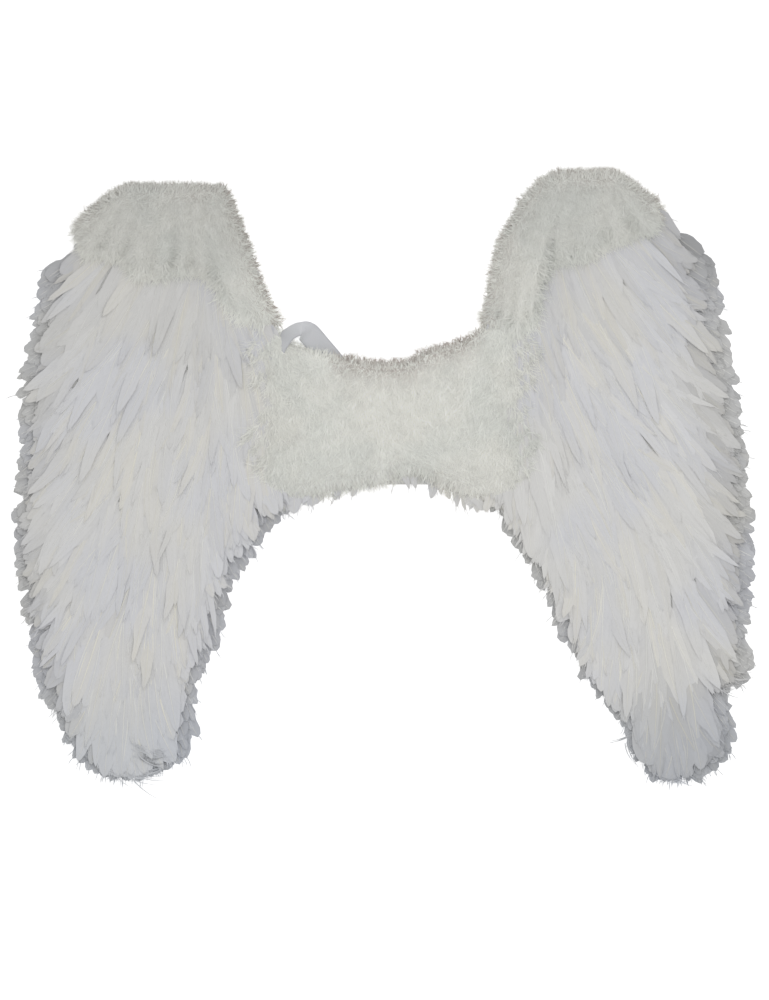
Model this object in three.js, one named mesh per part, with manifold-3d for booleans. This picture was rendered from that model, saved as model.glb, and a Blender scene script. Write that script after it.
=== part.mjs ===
// A pair of feathered costume wings joined by a furry yoke, lying on their back.
// Millimetres: +X across to the right wing, +Y towards the shoulders, +Z up out of the feathers.
import * as THREE from 'three';
import { mergeVertices } from 'three/addons/utils/BufferGeometryUtils.js';
import Module from 'manifold-3d';

const wasm = await Module();
wasm.setup();

// Heights of the stack, from the floor up
const BASE_THICKNESS = 2;
const PANEL_THICKNESS = 2;
const SEAT_GAP = 0.3;
const FRINGE_CLEARANCE = 0.3;

// Front feathers
const LOCK_THICKNESS = 6.4;
const LOCK_EDGE_THICKNESS = 2.6;
const LOCK_TIP_THICKNESS = 1;
const LOCK_WIDTH = 28;
const LOCK_WAIST = 0.42;
const LOCK_SHOULDER = 0.78;
const LOCK_SHOULDER_SPREAD = 0.8;
const LOCK_LEAST_LENGTH = 0.92;
const LOCK_LENGTH_SPREAD = 0.16;
const LOCK_LENGTH_AT_RIM = 0.72;
const ROW_GAP = 0.6;
const OUTLINE_MARGIN = 6;
const REACH_STEP = 4;

// Back feathers, which show past the front ones all round the wing
const FRINGE_LOCK_WIDTH = 24;
const FRINGE_LENGTH = 48;
const FRINGE_THICKNESS = 1.4;
const FRINGE_SHORTER = 0.9;
const FRINGE_FROM_CAP = 0.62;
const BASE_INSET = 34;
const BASE_TOP_SHARE = 0.6;
const BASE_NARROWING = 0.3;
const BASE_LEVELS = 12;

// How the feathers fan out from the middle line of a wing
const FAN_OUTER_DEG = 56;
const FAN_INNER_DEG = 27;
const FAN_POWER = 0.7;
const FAN_AT_BOTTOM = 0.3;
const FAN_NARROWS_FROM = 0.72;
const SWEEP_OUTER = 0.45;
const SWEEP_INNER = 0.2;
const SWEEP_POWER = 1.7;

// Fur: each pad has a foot on what carries it, and tufts that overhang the foot all round
const CAP_HEIGHT = 42;
const TRIM_HEIGHT = 35;
const CENTRE_HEIGHT = 34;
const TUFT_SPACING = 17;
const TUFT_REACH = 20;
const TUFT_NOTCH = 9;
const FOOT_WALL = 3;
const OVERHANG_LEVEL = 20.5;
const TUFT_THICKNESS = 4;
const RUFFLE = 5;
const RIM_CROWN = 0.62;
const WALL_CROWN = 0.75;
const CAP_ACROSS = 250;
const TRIM_FROM = 0.65;
const TRIM_FULL_FROM = 0.85;
const TRIM_STEP = 0.1;
const FUR_GAP = 3;

// Yoke panel, the fur band on it and the short feathers below the band
const PANEL_WIDTH = 354;
const PANEL_LAP = 16;
const PANEL_SLACK = 2;
const PANEL_TOP = 146;
const PANEL_WAIST_TOP = 121;
const PANEL_WAIST_WIDTH = 190;
const PANEL_BOTTOM = -6;
const BAND_TOP = 118;
const BAND_BOTTOM = 12;
const SHORT_ROW_INSET = 20;
const SHORT_ROW_LENGTH = 46;
const SHORT_ROW_MIDDLE_LENGTH = 27;
const SHORT_ROW_THICKENING = 1.5;

// Shoulder straps
const STRAP_WIDTH = 25;
const STRAP_THICKNESS = 1.4;
const STRAP_START = 24.5;
const LOOP_WIDTH = 115.5;
const LOOP_BOTTOM = 49;
const LEFT_LOOP_HEIGHT = 112;
const RIGHT_LOOP_HEIGHT = 86;
const LOOP_LIFT = 8;
const LOOP_INNER_LIFT = 0.4;
const STRAP_SEGMENTS = 32;

// The line along the middle of a strap, hand chosen. across and up are shares of the loop's width and
// height, and lift is a share of LOOP_LIFT by which the bend stands up from the surface.
const STRAP_ROUTE = [
  { across: 0.0, up: 0.088, lift: 0 },
  { across: 0.16, up: 0.573, lift: 0 },
  { across: 0.302, up: 0.845, lift: 0 },
  { across: 0.453, up: 0.98, lift: 1 },
  { across: 0.614, up: 1.0, lift: 0.5 },
  { across: 0.774, up: 0.903, lift: 0 },
  { across: 0.925, up: 0.66, lift: 0 },
  { across: 1.0, up: 0.379, lift: 0 },
  { across: 0.944, up: 0.156, lift: 0 },
  { across: 0.745, up: 0.02, lift: 0 },
  { across: 0.472, up: 0.0, lift: 0 },
];

// Each station is a level across a wing. down is a share of the wing's height, measured from its top.
// outer, spine and inner are shares of the wing's width, measured inwards from its outermost feather tip.
// cap is the depth of the fur cap as a share of the height, and bandEnd is how far in from that tip the fur
// band ends.
const LEFT_WING = {
  name: 'left',
  side: -1,
  height: 654,
  width: 320,
  reach: 404,
  top: 324,
  cap: 0.156,
  trimWidth: 36,
  bandEnd: 300,
  stations: [
    { down: 0.0, outer: 0.412, spine: 0.548, inner: 0.708 },
    { down: 0.03, outer: 0.296, spine: 0.538, inner: 0.742 },
    { down: 0.097, outer: 0.146, spine: 0.525, inner: 0.8 },
    { down: 0.163, outer: 0.109, spine: 0.514, inner: 0.845 },
    { down: 0.23, outer: 0.068, spine: 0.504, inner: 0.909 },
    { down: 0.297, outer: 0.037, spine: 0.49, inner: 0.947 },
    { down: 0.363, outer: 0.01, spine: 0.48, inner: 0.991 },
    { down: 0.43, outer: 0.014, spine: 0.47, inner: 1.015 },
    { down: 0.497, outer: 0.007, spine: 0.456, inner: 1.015 },
    { down: 0.53, outer: 0.01, spine: 0.45, inner: 0.995 },
    { down: 0.563, outer: 0.003, spine: 0.439, inner: 0.906 },
    { down: 0.613, outer: 0.0, spine: 0.429, inner: 0.821 },
    { down: 0.697, outer: 0.017, spine: 0.412, inner: 0.725 },
    { down: 0.78, outer: 0.054, spine: 0.395, inner: 0.685 },
    { down: 0.863, outer: 0.089, spine: 0.385, inner: 0.61 },
    { down: 0.913, outer: 0.163, spine: 0.381, inner: 0.593 },
    { down: 0.963, outer: 0.198, spine: 0.385, inner: 0.579 },
    { down: 1.0, outer: 0.31, spine: 0.388, inner: 0.463 },
  ],
  rows: [
    { start: 0.176, length: 0.225, outer: 0.93 },
    { start: 0.306, length: 0.225, outer: 0.95 },
    { start: 0.435, length: 0.23, outer: 0.95 },
    { start: 0.57, length: 0.22, outer: 0.94 },
    { start: 0.705, length: 0.21, outer: 0.92 },
    { start: 0.84, length: 0.2, outer: 0.86 },
  ],
};

const RIGHT_WING = {
  name: 'right',
  side: 1,
  height: 672,
  width: 320,
  reach: 404,
  top: 339,
  cap: 0.152,
  trimWidth: 54,
  bandEnd: 278,
  stations: [
    { down: 0.0, outer: 0.521, spine: 0.579, inner: 0.623 },
    { down: 0.019, outer: 0.433, spine: 0.613, inner: 0.736 },
    { down: 0.052, outer: 0.341, spine: 0.647, inner: 0.8 },
    { down: 0.117, outer: 0.17, spine: 0.691, inner: 0.879 },
    { down: 0.182, outer: 0.129, spine: 0.715, inner: 0.913 },
    { down: 0.263, outer: 0.099, spine: 0.722, inner: 0.937 },
    { down: 0.311, outer: 0.072, spine: 0.722, inner: 0.943 },
    { down: 0.376, outer: 0.058, spine: 0.712, inner: 0.964 },
    { down: 0.441, outer: 0.034, spine: 0.685, inner: 0.978 },
    { down: 0.506, outer: 0.017, spine: 0.644, inner: 0.978 },
    { down: 0.538, outer: 0.014, spine: 0.62, inner: 0.937 },
    { down: 0.571, outer: 0.01, spine: 0.596, inner: 0.869 },
    { down: 0.635, outer: 0.003, spine: 0.545, inner: 0.79 },
    { down: 0.7, outer: 0.007, spine: 0.494, inner: 0.708 },
    { down: 0.765, outer: 0.024, spine: 0.448, inner: 0.656 },
    { down: 0.83, outer: 0.01, spine: 0.399, inner: 0.579 },
    { down: 0.862, outer: 0.133, spine: 0.371, inner: 0.528 },
    { down: 0.911, outer: 0.082, spine: 0.317, inner: 0.453 },
    { down: 0.96, outer: 0.092, spine: 0.272, inner: 0.399 },
    { down: 1.0, outer: 0.187, spine: 0.255, inner: 0.33 },
  ],
  rows: [
    { start: 0.172, length: 0.225, outer: 0.94 },
    { start: 0.3, length: 0.225, outer: 0.95 },
    { start: 0.43, length: 0.23, outer: 0.95 },
    { start: 0.565, length: 0.22, outer: 0.95 },
    { start: 0.7, length: 0.21, outer: 0.93 },
    { start: 0.835, length: 0.2, outer: 0.88 },
  ],
};

const clamp = (value, low, high) => Math.min(high, Math.max(low, value));
const mix = (a, b, share) => a + (b - a) * share;
const smooth = (value, low, high) => THREE.MathUtils.smoothstep(value, low, high);

const along = (root, way, distance) => ({ x: root.x + way.x * distance, y: root.y + way.y * distance });
const between = (a, b, share) => ({ x: mix(a.x, b.x, share), y: mix(a.y, b.y, share) });

// A steady pseudo-random number from 0 to 1 for a pair of whole numbers, so that every build is the same
function jitter(i, j) {
  const raw = Math.sin(i * 127.1 + j * 311.7) * 43758.5453;
  return raw - Math.floor(raw);
}

// Straight-line reading of one column of a station table
function readStation(stations, column, down) {
  const last = stations.length - 1;
  let k = 0;
  while (k < last - 1 && down > stations[k + 1].down) k += 1;
  const from = stations[k];
  const to = stations[k + 1];
  const share = clamp((down - from.down) / (to.down - from.down), 0, 1);
  return mix(from[column], to[column], share);
}

// A closed solid from a flat mesh: each point has a place and the heights of its underside and its top, and
// the walls stand on the edges that only one triangle uses.
function sheetSolid(points, triangles) {
  const count = points.length;
  const positions = [];
  points.forEach((p) => positions.push(p.x, p.y, p.high));
  points.forEach((p) => positions.push(p.x, p.y, p.low));
  const edges = new Set();
  triangles.forEach(([a, b, c]) => {
    edges.add(`${a},${b}`);
    edges.add(`${b},${c}`);
    edges.add(`${c},${a}`);
  });
  const faces = [];
  triangles.forEach(([a, b, c]) => {
    faces.push(a, b, c);
    faces.push(a + count, c + count, b + count);
  });
  edges.forEach((edge) => {
    const [from, to] = edge.split(',').map(Number);
    if (edges.has(`${to},${from}`)) return;
    faces.push(from, from + count, to + count);
    faces.push(from, to + count, to);
  });
  const geometry = new THREE.BufferGeometry();
  geometry.setAttribute('position', new THREE.Float32BufferAttribute(positions, 3));
  geometry.setIndex(faces);
  return geometry;
}

function toManifold(geometry) {
  const bare = geometry.clone();
  bare.deleteAttribute('normal');
  bare.deleteAttribute('uv');
  const merged = mergeVertices(bare, 1e-4);
  return new wasm.Manifold(new wasm.Mesh({
    numProp: 3,
    vertProperties: new Float32Array(merged.attributes.position.array),
    triVerts: new Uint32Array(merged.index.array),
  }));
}

function fromManifold(solid) {
  const mesh = solid.getMesh();
  const geometry = new THREE.BufferGeometry();
  geometry.setAttribute('position', new THREE.BufferAttribute(new Float32Array(mesh.vertProperties), 3));
  geometry.setIndex(new THREE.BufferAttribute(new Uint32Array(mesh.triVerts), 1));
  return geometry;
}

// The level of the underside of what lies on the bases and on the yoke panel, which laps over the bases
function seatHeight(x) {
  const onBase = BASE_THICKNESS + SEAT_GAP;
  const onPanel = onBase + PANEL_THICKNESS + SEAT_GAP;
  const panelEdge = PANEL_WIDTH / 2;
  return mix(onPanel, onBase, smooth(Math.abs(x), panelEdge + PANEL_SLACK, panelEdge + LOCK_WIDTH));
}

// How far from the middle the fur band ends beside a wing
const bandEdge = (wing) => wing.reach - wing.bandEnd;

// Places, directions and levels on one wing. n runs from -1 at the inner edge over 0 on the spine to 1 at
// the outer edge.
function wingFrame(wing) {
  const read = (column, down) => readStation(wing.stations, column, down / wing.height) * wing.width;
  const halfWidth = (down, n) => (n > 0
    ? read('spine', down) - read('outer', down)
    : read('inner', down) - read('spine', down));
  const place = (down, n) => {
    const across = read('spine', down) - n * halfWidth(down, n);
    return { x: wing.side * (wing.reach - across), y: wing.top - down };
  };
  const lateral = (x, y) => {
    const down = wing.top - y;
    const past = read('spine', down) - (wing.reach - wing.side * x);
    return past / halfWidth(down, past);
  };
  const rise = (down, n) => {
    const sweep = n > 0 ? SWEEP_OUTER : SWEEP_INNER;
    return sweep * halfWidth(down, n) * Math.abs(n) ** SWEEP_POWER;
  };
  const level = (x, y) => wing.top - y + rise(wing.top - y, lateral(x, y));
  const onLevel = (wanted, n) => {
    let down = wanted;
    for (let step = 0; step < 8; step += 1) down = wanted - rise(down, n);
    return place(down, n);
  };
  const direction = (n, y) => {
    const widest = n > 0 ? FAN_OUTER_DEG : -FAN_INNER_DEG;
    const narrowing = smooth((wing.top - y) / wing.height, FAN_NARROWS_FROM, 1);
    const fan = widest * mix(1, FAN_AT_BOTTOM, narrowing);
    const turn = THREE.MathUtils.degToRad(fan * Math.abs(clamp(n, -1, 1)) ** FAN_POWER);
    return { x: wing.side * Math.sin(turn), y: -Math.cos(turn) };
  };
  const trimEnd = wing.top - BAND_TOP - 2 * TUFT_REACH - FUR_GAP;
  const furFoot = (n) => {
    const cap = wing.top - onLevel(wing.cap * wing.height, n).y;
    const trimShare = wing.trimWidth / halfWidth(trimEnd, -1);
    return mix(cap, trimEnd, smooth(-n, 1 - trimShare - TRIM_STEP, 1 - trimShare));
  };
  const free = (x, y) => {
    const down = wing.top - y;
    const n = lateral(x, y);
    const besideBand = Math.abs(x) > bandEdge(wing) + OUTLINE_MARGIN;
    const underBand = Math.abs(x) > bandEdge(wing) - SHORT_ROW_INSET + OUTLINE_MARGIN;
    const belowBand = y < BAND_BOTTOM && underBand;
    const inDepth = down < wing.height - OUTLINE_MARGIN;
    const inWidth = Math.abs(n) < 1 - OUTLINE_MARGIN / halfWidth(down, n);
    const foot = Math.max(furFoot(n), furFoot(n - TUFT_SPACING / halfWidth(down, -1)));
    return inDepth && inWidth && down > foot + OUTLINE_MARGIN && (besideBand || belowBand);
  };
  return { place, lateral, level, onLevel, direction, furFoot, free };
}

// How far a lock can run from its root before it leaves the wing's outline or meets fur
function reachInside(frame, root, way, wanted) {
  let reach = REACH_STEP;
  while (reach < wanted) {
    const next = along(root, way, reach + REACH_STEP);
    if (!frame.free(next.x, next.y)) break;
    reach += REACH_STEP;
  }
  return Math.min(reach, wanted);
}

// A comb of leaf-shaped locks on one root strip. rays holds 2 * count + 1 rays in order across the comb:
// borders at even places and spines at odd ones, each with a root, a way and a length. heights gives a
// point its levels.
function comb(rays, heights) {
  const points = [];
  const triangles = [];
  const add = (spot, lift, share) => {
    points.push({ x: spot.x, y: spot.y, ...heights(spot, lift, share) });
    return points.length - 1;
  };
  const borders = [];
  const spines = [];
  rays.forEach((ray, i) => {
    if (i % 2 === 1) {
      const root = add(ray.root, 1, 0);
      const waist = add(along(ray.root, ray.way, ray.length * LOCK_WAIST), 1, LOCK_WAIST);
      spines.push({ root, waist });
      return;
    }
    const root = add(ray.root, 0, 0);
    const waist = add(along(ray.root, ray.way, ray.length * LOCK_WAIST), 0, LOCK_WAIST);
    borders.push({ root, waist });
  });
  for (let i = 0; i < spines.length; i += 1) {
    const spine = rays[2 * i + 1];
    const [before, after] = [rays[2 * i], rays[2 * i + 2]];
    const run = spine.length * LOCK_SHOULDER;
    const middle = along(spine.root, spine.way, run);
    const beside = (ray) => {
      const edge = along(ray.root, ray.way, Math.min(run, ray.length));
      return between(middle, edge, LOCK_SHOULDER_SPREAD);
    };
    const left = add(beside(before), 0, LOCK_SHOULDER);
    const centre = add(middle, 1, LOCK_SHOULDER);
    const right = add(beside(after), 0, LOCK_SHOULDER);
    const tip = add(along(spine.root, spine.way, spine.length), 0, 1);
    const [a, b] = [borders[i], borders[i + 1]];
    const s = spines[i];
    triangles.push([a.root, s.root, s.waist], [a.root, s.waist, a.waist]);
    triangles.push([s.root, b.root, b.waist], [s.root, b.waist, s.waist]);
    triangles.push([a.waist, s.waist, centre], [a.waist, centre, left]);
    triangles.push([s.waist, b.waist, right], [s.waist, right, centre]);
    triangles.push([left, centre, tip], [centre, right, tip]);
  }
  return { points, triangles };
}

// The same triangles turned over where the comb runs the other way round
function facingUp({ points, triangles }) {
  const [a, b, c] = triangles[0].map((i) => points[i]);
  const turn = (b.x - a.x) * (c.y - a.y) - (b.y - a.y) * (c.x - a.x);
  return sheetSolid(points, turn > 0 ? triangles : triangles.map(([i, j, k]) => [i, k, j]));
}

// One row of front feathers. Every row climbs by the same slope from its own root level, so that each
// passes over the next with ROW_GAP between them.
function featherRow(wing, index) {
  const frame = wingFrame(wing);
  const row = wing.rows[index];
  const start = row.start * wing.height;
  const pitch = (wing.rows[1].start - wing.rows[0].start) * wing.height;
  const slope = (LOCK_THICKNESS + ROW_GAP) / pitch;
  const rootAt = (n) => frame.onLevel(start, n);
  const isFree = (n) => frame.free(rootAt(n).x, rootAt(n).y);
  let innerEnd = -1;
  while (!isFree(innerEnd) && innerEnd < row.outer) innerEnd += 0.01;
  const ends = [rootAt(innerEnd), rootAt(row.outer)];
  const span = Math.hypot(ends[0].x - ends[1].x, ends[0].y - ends[1].y);
  const count = Math.max(1, Math.round(span / LOCK_WIDTH));
  const rays = [];
  for (let i = 0; i <= 2 * count; i += 1) {
    const n = mix(innerEnd, row.outer, i / (2 * count));
    const root = rootAt(n);
    const way = frame.direction(n, root.y);
    const varied = LOCK_LEAST_LENGTH + LOCK_LENGTH_SPREAD * jitter(i, index);
    const shorter = mix(1, LOCK_LENGTH_AT_RIM, Math.max(n, 0));
    const wanted = row.length * wing.height * varied * shorter;
    rays.push({ root, way, length: reachInside(frame, root, way, wanted) });
  }
  const heights = (spot, lift, share) => {
    const low = seatHeight(spot.x) + slope * Math.max(0, frame.level(spot.x, spot.y) - start);
    const full = lift ? LOCK_THICKNESS : LOCK_EDGE_THICKNESS;
    return { low, high: low + mix(full, LOCK_TIP_THICKNESS, smooth(share, 0.5, 1)) };
  };
  return facingUp(comb(rays, heights));
}

// The flat backing of a wing, inset from the tips all round and cut back beside the yoke, where the straps
// lie
function basePanel(wing) {
  const frame = wingFrame(wing);
  const innerLimit = PANEL_WIDTH / 2 - PANEL_LAP;
  const points = [];
  const triangles = [];
  for (let i = 0; i <= BASE_LEVELS; i += 1) {
    const down = mix(BASE_INSET * BASE_TOP_SHARE, wing.height - BASE_INSET, i / BASE_LEVELS);
    const outer = frame.place(down, 1);
    const inner = frame.place(down, -1);
    const middle = frame.place(down, 0);
    const shrink = Math.min(BASE_INSET, Math.abs(outer.x - inner.x) * BASE_NARROWING);
    const edges = [
      outer.x - wing.side * shrink,
      middle.x,
      wing.side * Math.max(Math.abs(inner.x) + shrink, innerLimit),
    ];
    edges.forEach((x) => points.push({ x, y: outer.y, low: 0, high: BASE_THICKNESS }));
    if (i === BASE_LEVELS) continue;
    const k = 3 * i;
    triangles.push([k, k + 1, k + 4], [k, k + 4, k + 3]);
    triangles.push([k + 1, k + 2, k + 5], [k + 1, k + 5, k + 4]);
  }
  return facingUp({ points, triangles });
}

// The outline of a wing from the yoke's lower corner down the inner edge, round the bottom and up the outer
// edge to the fur cap, in even steps. Each stop has its place and the share n that sets its direction.
function outlineStops(wing, spacing) {
  const frame = wingFrame(wing);
  const top = wing.cap * wing.height * FRINGE_FROM_CAP;
  const yokeCorner = wing.top - BAND_BOTTOM + BASE_INSET;
  const path = [];
  for (let down = yokeCorner; down < wing.height; down += spacing / 4) path.push({ down, n: -1 });
  for (let n = -1; n < 1; n += 0.1) path.push({ down: wing.height, n });
  for (let down = wing.height; down > top; down -= spacing / 4) path.push({ down, n: 1 });
  const stops = [];
  let last = null;
  path.forEach(({ down, n }) => {
    const spot = frame.place(down, n);
    if (last && Math.hypot(spot.x - last.x, spot.y - last.y) < spacing) return;
    last = spot;
    stops.push({ ...spot, n });
  });
  return stops;
}

// The back feathers: a flat comb round the wing whose root strip lies in the backing
function backFringe(wing) {
  const frame = wingFrame(wing);
  let stops = outlineStops(wing, FRINGE_LOCK_WIDTH / 2);
  if (stops.length % 2 === 0) stops = stops.slice(0, -1);
  const rays = stops.map((stop, i) => {
    const way = frame.direction(stop.n, stop.y);
    const length = FRINGE_LENGTH * (i % 2 === 1 ? 1 : FRINGE_SHORTER);
    return { root: along(stop, way, -length), way, length };
  });
  const heights = () => ({ low: FRINGE_CLEARANCE, high: FRINGE_CLEARANCE + FRINGE_THICKNESS });
  return facingUp(comb(rays, heights));
}

function wingBase(wing) {
  return fromManifold(toManifold(basePanel(wing)).add(toManifold(backFringe(wing))));
}

// A fur pad on a grid. place takes shares s and t across and down the pad to a spot. The rim is notched into
// tufts, the foot wall drops to the seat, and the top is ruffled.
function furPad(place, acrossLength, downLength, crownAt, seed) {
  const stops = (length) => {
    const foot = TUFT_REACH / length;
    const wall = (TUFT_REACH - FOOT_WALL) / length;
    const count = Math.round((length - 2 * TUFT_REACH) / TUFT_SPACING);
    const middle = Array.from({ length: count + 1 }, (_, i) => mix(foot, 1 - foot, i / count));
    return [0, wall, ...middle, 1 - wall, 1];
  };
  const across = stops(acrossLength);
  const downs = stops(downLength);
  const points = [];
  const triangles = [];
  downs.forEach((t, j) => across.forEach((s, i) => {
    const rank = Math.min(i, j, across.length - 1 - i, downs.length - 1 - j);
    const notch = rank === 0 && (i + j) % 2 === 0 ? TUFT_NOTCH : 0;
    const inS = clamp(s, notch / acrossLength, 1 - notch / acrossLength);
    const inT = clamp(t, notch / downLength, 1 - notch / downLength);
    const spot = place(inS, inT);
    const ruffle = RUFFLE * (jitter(i + seed, j) - 0.5);
    const crown = crownAt(s, t) + ruffle;
    const seat = seatHeight(spot.x);
    const levels = [
      { low: OVERHANG_LEVEL, high: OVERHANG_LEVEL + TUFT_THICKNESS },
      { low: OVERHANG_LEVEL, high: mix(OVERHANG_LEVEL, crown, RIM_CROWN) },
      { low: seat, high: mix(OVERHANG_LEVEL, crown, WALL_CROWN) },
      { low: seat, high: crown },
    ];
    points.push({ ...spot, ...levels[Math.min(rank, 3)] });
  }));
  for (let j = 0; j < downs.length - 1; j += 1) {
    for (let i = 0; i < across.length - 1; i += 1) {
      const k = j * across.length + i;
      const below = k + across.length;
      if ((i + j) % 2 === 0) triangles.push([k, k + 1, below + 1], [k, below + 1, below]);
      else triangles.push([k, k + 1, below], [k + 1, below + 1, below]);
    }
  }
  return facingUp({ points, triangles });
}

// The fur over a wing's top, with the trim that runs on down the wing's inner edge
function shoulderFur(wing) {
  const frame = wingFrame(wing);
  const downLength = wing.cap * wing.height + TUFT_REACH;
  const footShare = 1 - TUFT_REACH / downLength;
  const place = (s, t) => {
    const n = mix(1, -1, s);
    const foot = frame.furFoot(n);
    const down = t < footShare
      ? mix(0, foot, t / footShare)
      : foot + TUFT_REACH * (t - footShare) / (1 - footShare);
    return frame.place(down, n);
  };
  const crownAt = (s) => mix(CAP_HEIGHT, TRIM_HEIGHT, smooth(s, TRIM_FROM, TRIM_FULL_FROM));
  return furPad(place, CAP_ACROSS, downLength, crownAt, wing.side);
}

// The fur band over the yoke
function centreFur() {
  const left = -bandEdge(LEFT_WING) - TUFT_REACH;
  const right = bandEdge(RIGHT_WING) + TUFT_REACH;
  const depth = BAND_TOP - BAND_BOTTOM + 2 * TUFT_REACH;
  const place = (s, t) => ({
    x: mix(left, right, s),
    y: mix(BAND_TOP + TUFT_REACH, BAND_BOTTOM - TUFT_REACH, t),
  });
  return furPad(place, right - left, depth, () => CENTRE_HEIGHT, 7);
}

// The short feathers that hang from the yoke, longest beside the wings
function centreFeatherRow() {
  const left = SHORT_ROW_INSET - bandEdge(LEFT_WING);
  const right = bandEdge(RIGHT_WING) - SHORT_ROW_INSET;
  const count = Math.round((right - left) / FRINGE_LOCK_WIDTH);
  const rays = [];
  for (let i = 0; i <= 2 * count; i += 1) {
    const share = i / (2 * count);
    const away = Math.abs(2 * share - 1);
    const length = mix(SHORT_ROW_MIDDLE_LENGTH, SHORT_ROW_LENGTH, away ** 2);
    const root = { x: mix(left, right, share), y: BAND_BOTTOM - FOOT_WALL - SEAT_GAP };
    rays.push({ root, way: { x: 0, y: -1 }, length });
  }
  const low = seatHeight(0);
  const heights = (spot, lift, share) => {
    const full = lift ? LOCK_EDGE_THICKNESS * SHORT_ROW_THICKENING : LOCK_EDGE_THICKNESS;
    return { low, high: low + mix(full, LOCK_TIP_THICKNESS, share) };
  };
  return facingUp(comb(rays, heights));
}

// The yoke's flat panel: full height beside the wings and lower between them
function centrePanel() {
  const half = PANEL_WIDTH / 2;
  const waist = PANEL_WAIST_WIDTH / 2;
  const outline = new THREE.Shape();
  outline.moveTo(-half, PANEL_BOTTOM);
  outline.lineTo(half, PANEL_BOTTOM);
  outline.lineTo(half, PANEL_TOP);
  outline.lineTo(waist + STRAP_WIDTH, PANEL_TOP);
  outline.quadraticCurveTo(waist, PANEL_WAIST_TOP, waist - STRAP_WIDTH, PANEL_WAIST_TOP);
  outline.lineTo(STRAP_WIDTH - waist, PANEL_WAIST_TOP);
  outline.quadraticCurveTo(-waist, PANEL_WAIST_TOP, -waist - STRAP_WIDTH, PANEL_TOP);
  outline.lineTo(-half, PANEL_TOP);
  const panel = new THREE.ExtrudeGeometry(outline, {
    depth: PANEL_THICKNESS,
    bevelEnabled: false,
    curveSegments: 5,
  });
  panel.translate(0, 0, BASE_THICKNESS + SEAT_GAP);
  return panel;
}

// A flat elastic loop. It lies just under the yoke, and its bend stands up a little where it comes out on
// top.
function strap(side, loopHeight) {
  const nodes = STRAP_ROUTE.map(({ across, up, lift }) => new THREE.Vector3(
    side * (STRAP_START + across * LOOP_WIDTH),
    LOOP_BOTTOM + up * loopHeight,
    lift * LOOP_LIFT,
  ));
  const curve = new THREE.CatmullRomCurve3(nodes, false, 'centripetal');
  const points = [];
  const triangles = [];
  const low = BASE_THICKNESS - STRAP_THICKNESS;
  for (let i = 0; i <= STRAP_SEGMENTS; i += 1) {
    const share = i / STRAP_SEGMENTS;
    const spot = curve.getPointAt(share);
    const tangent = curve.getTangentAt(share);
    const normal = new THREE.Vector2(-tangent.y, tangent.x).setLength(STRAP_WIDTH / 2);
    const lift = loopHeight === LEFT_LOOP_HEIGHT ? Math.max(0, spot.z) : 0;
    const inner = { x: spot.x - normal.x, y: spot.y - normal.y, low: low + lift * LOOP_INNER_LIFT };
    const outer = { x: spot.x + normal.x, y: spot.y + normal.y, low: low + lift };
    [inner, outer].forEach((p) => points.push({ ...p, high: p.low + STRAP_THICKNESS }));
    if (i === STRAP_SEGMENTS) continue;
    const k = 2 * i;
    triangles.push([k, k + 1, k + 3], [k, k + 3, k + 2]);
  }
  return facingUp({ points, triangles });
}

const looks = {
  backing: { color: 0xe6e6e2, roughness: 0.9 },
  backFeather: { color: 0xcdd0d3, roughness: 0.8 },
  feather: { color: 0xdfe0e2, roughness: 0.7 },
  fur: { color: 0xdddfd8, roughness: 0.95 },
  elastic: { color: 0xeeeff0, roughness: 0.75 },
};

const wings = new THREE.Group();

function addPiece(name, geometry, look) {
  const material = new THREE.MeshStandardMaterial({ ...looks[look], metalness: 0 });
  const piece = new THREE.Mesh(geometry, material);
  piece.name = name;
  wings.add(piece);
}

[LEFT_WING, RIGHT_WING].forEach((wing) => {
  addPiece(`${wing.name}_wing_base`, wingBase(wing), 'backFeather');
  wing.rows.forEach((row, index) => {
    addPiece(`${wing.name}_feather_row_${index + 1}`, featherRow(wing, index), 'feather');
  });
  addPiece(`${wing.name}_shoulder_fur`, shoulderFur(wing), 'fur');
});
addPiece('centre_panel', centrePanel(), 'backing');
addPiece('centre_fur', centreFur(), 'fur');
addPiece('centre_feather_row', centreFeatherRow(), 'feather');
addPiece('left_strap', strap(-1, LEFT_LOOP_HEIGHT), 'elastic');
addPiece('right_strap', strap(1, RIGHT_LOOP_HEIGHT), 'elastic');

// The origin is the middle of the whole outline, on the surface that the wings lie on
const outlineBox = new THREE.Box3().setFromObject(wings);
const middle = outlineBox.getCenter(new THREE.Vector3());
wings.position.set(-middle.x, -middle.y, -outlineBox.min.z);

const assembly = new THREE.Group();
assembly.add(wings);
export default assembly;
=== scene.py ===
import math

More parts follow.
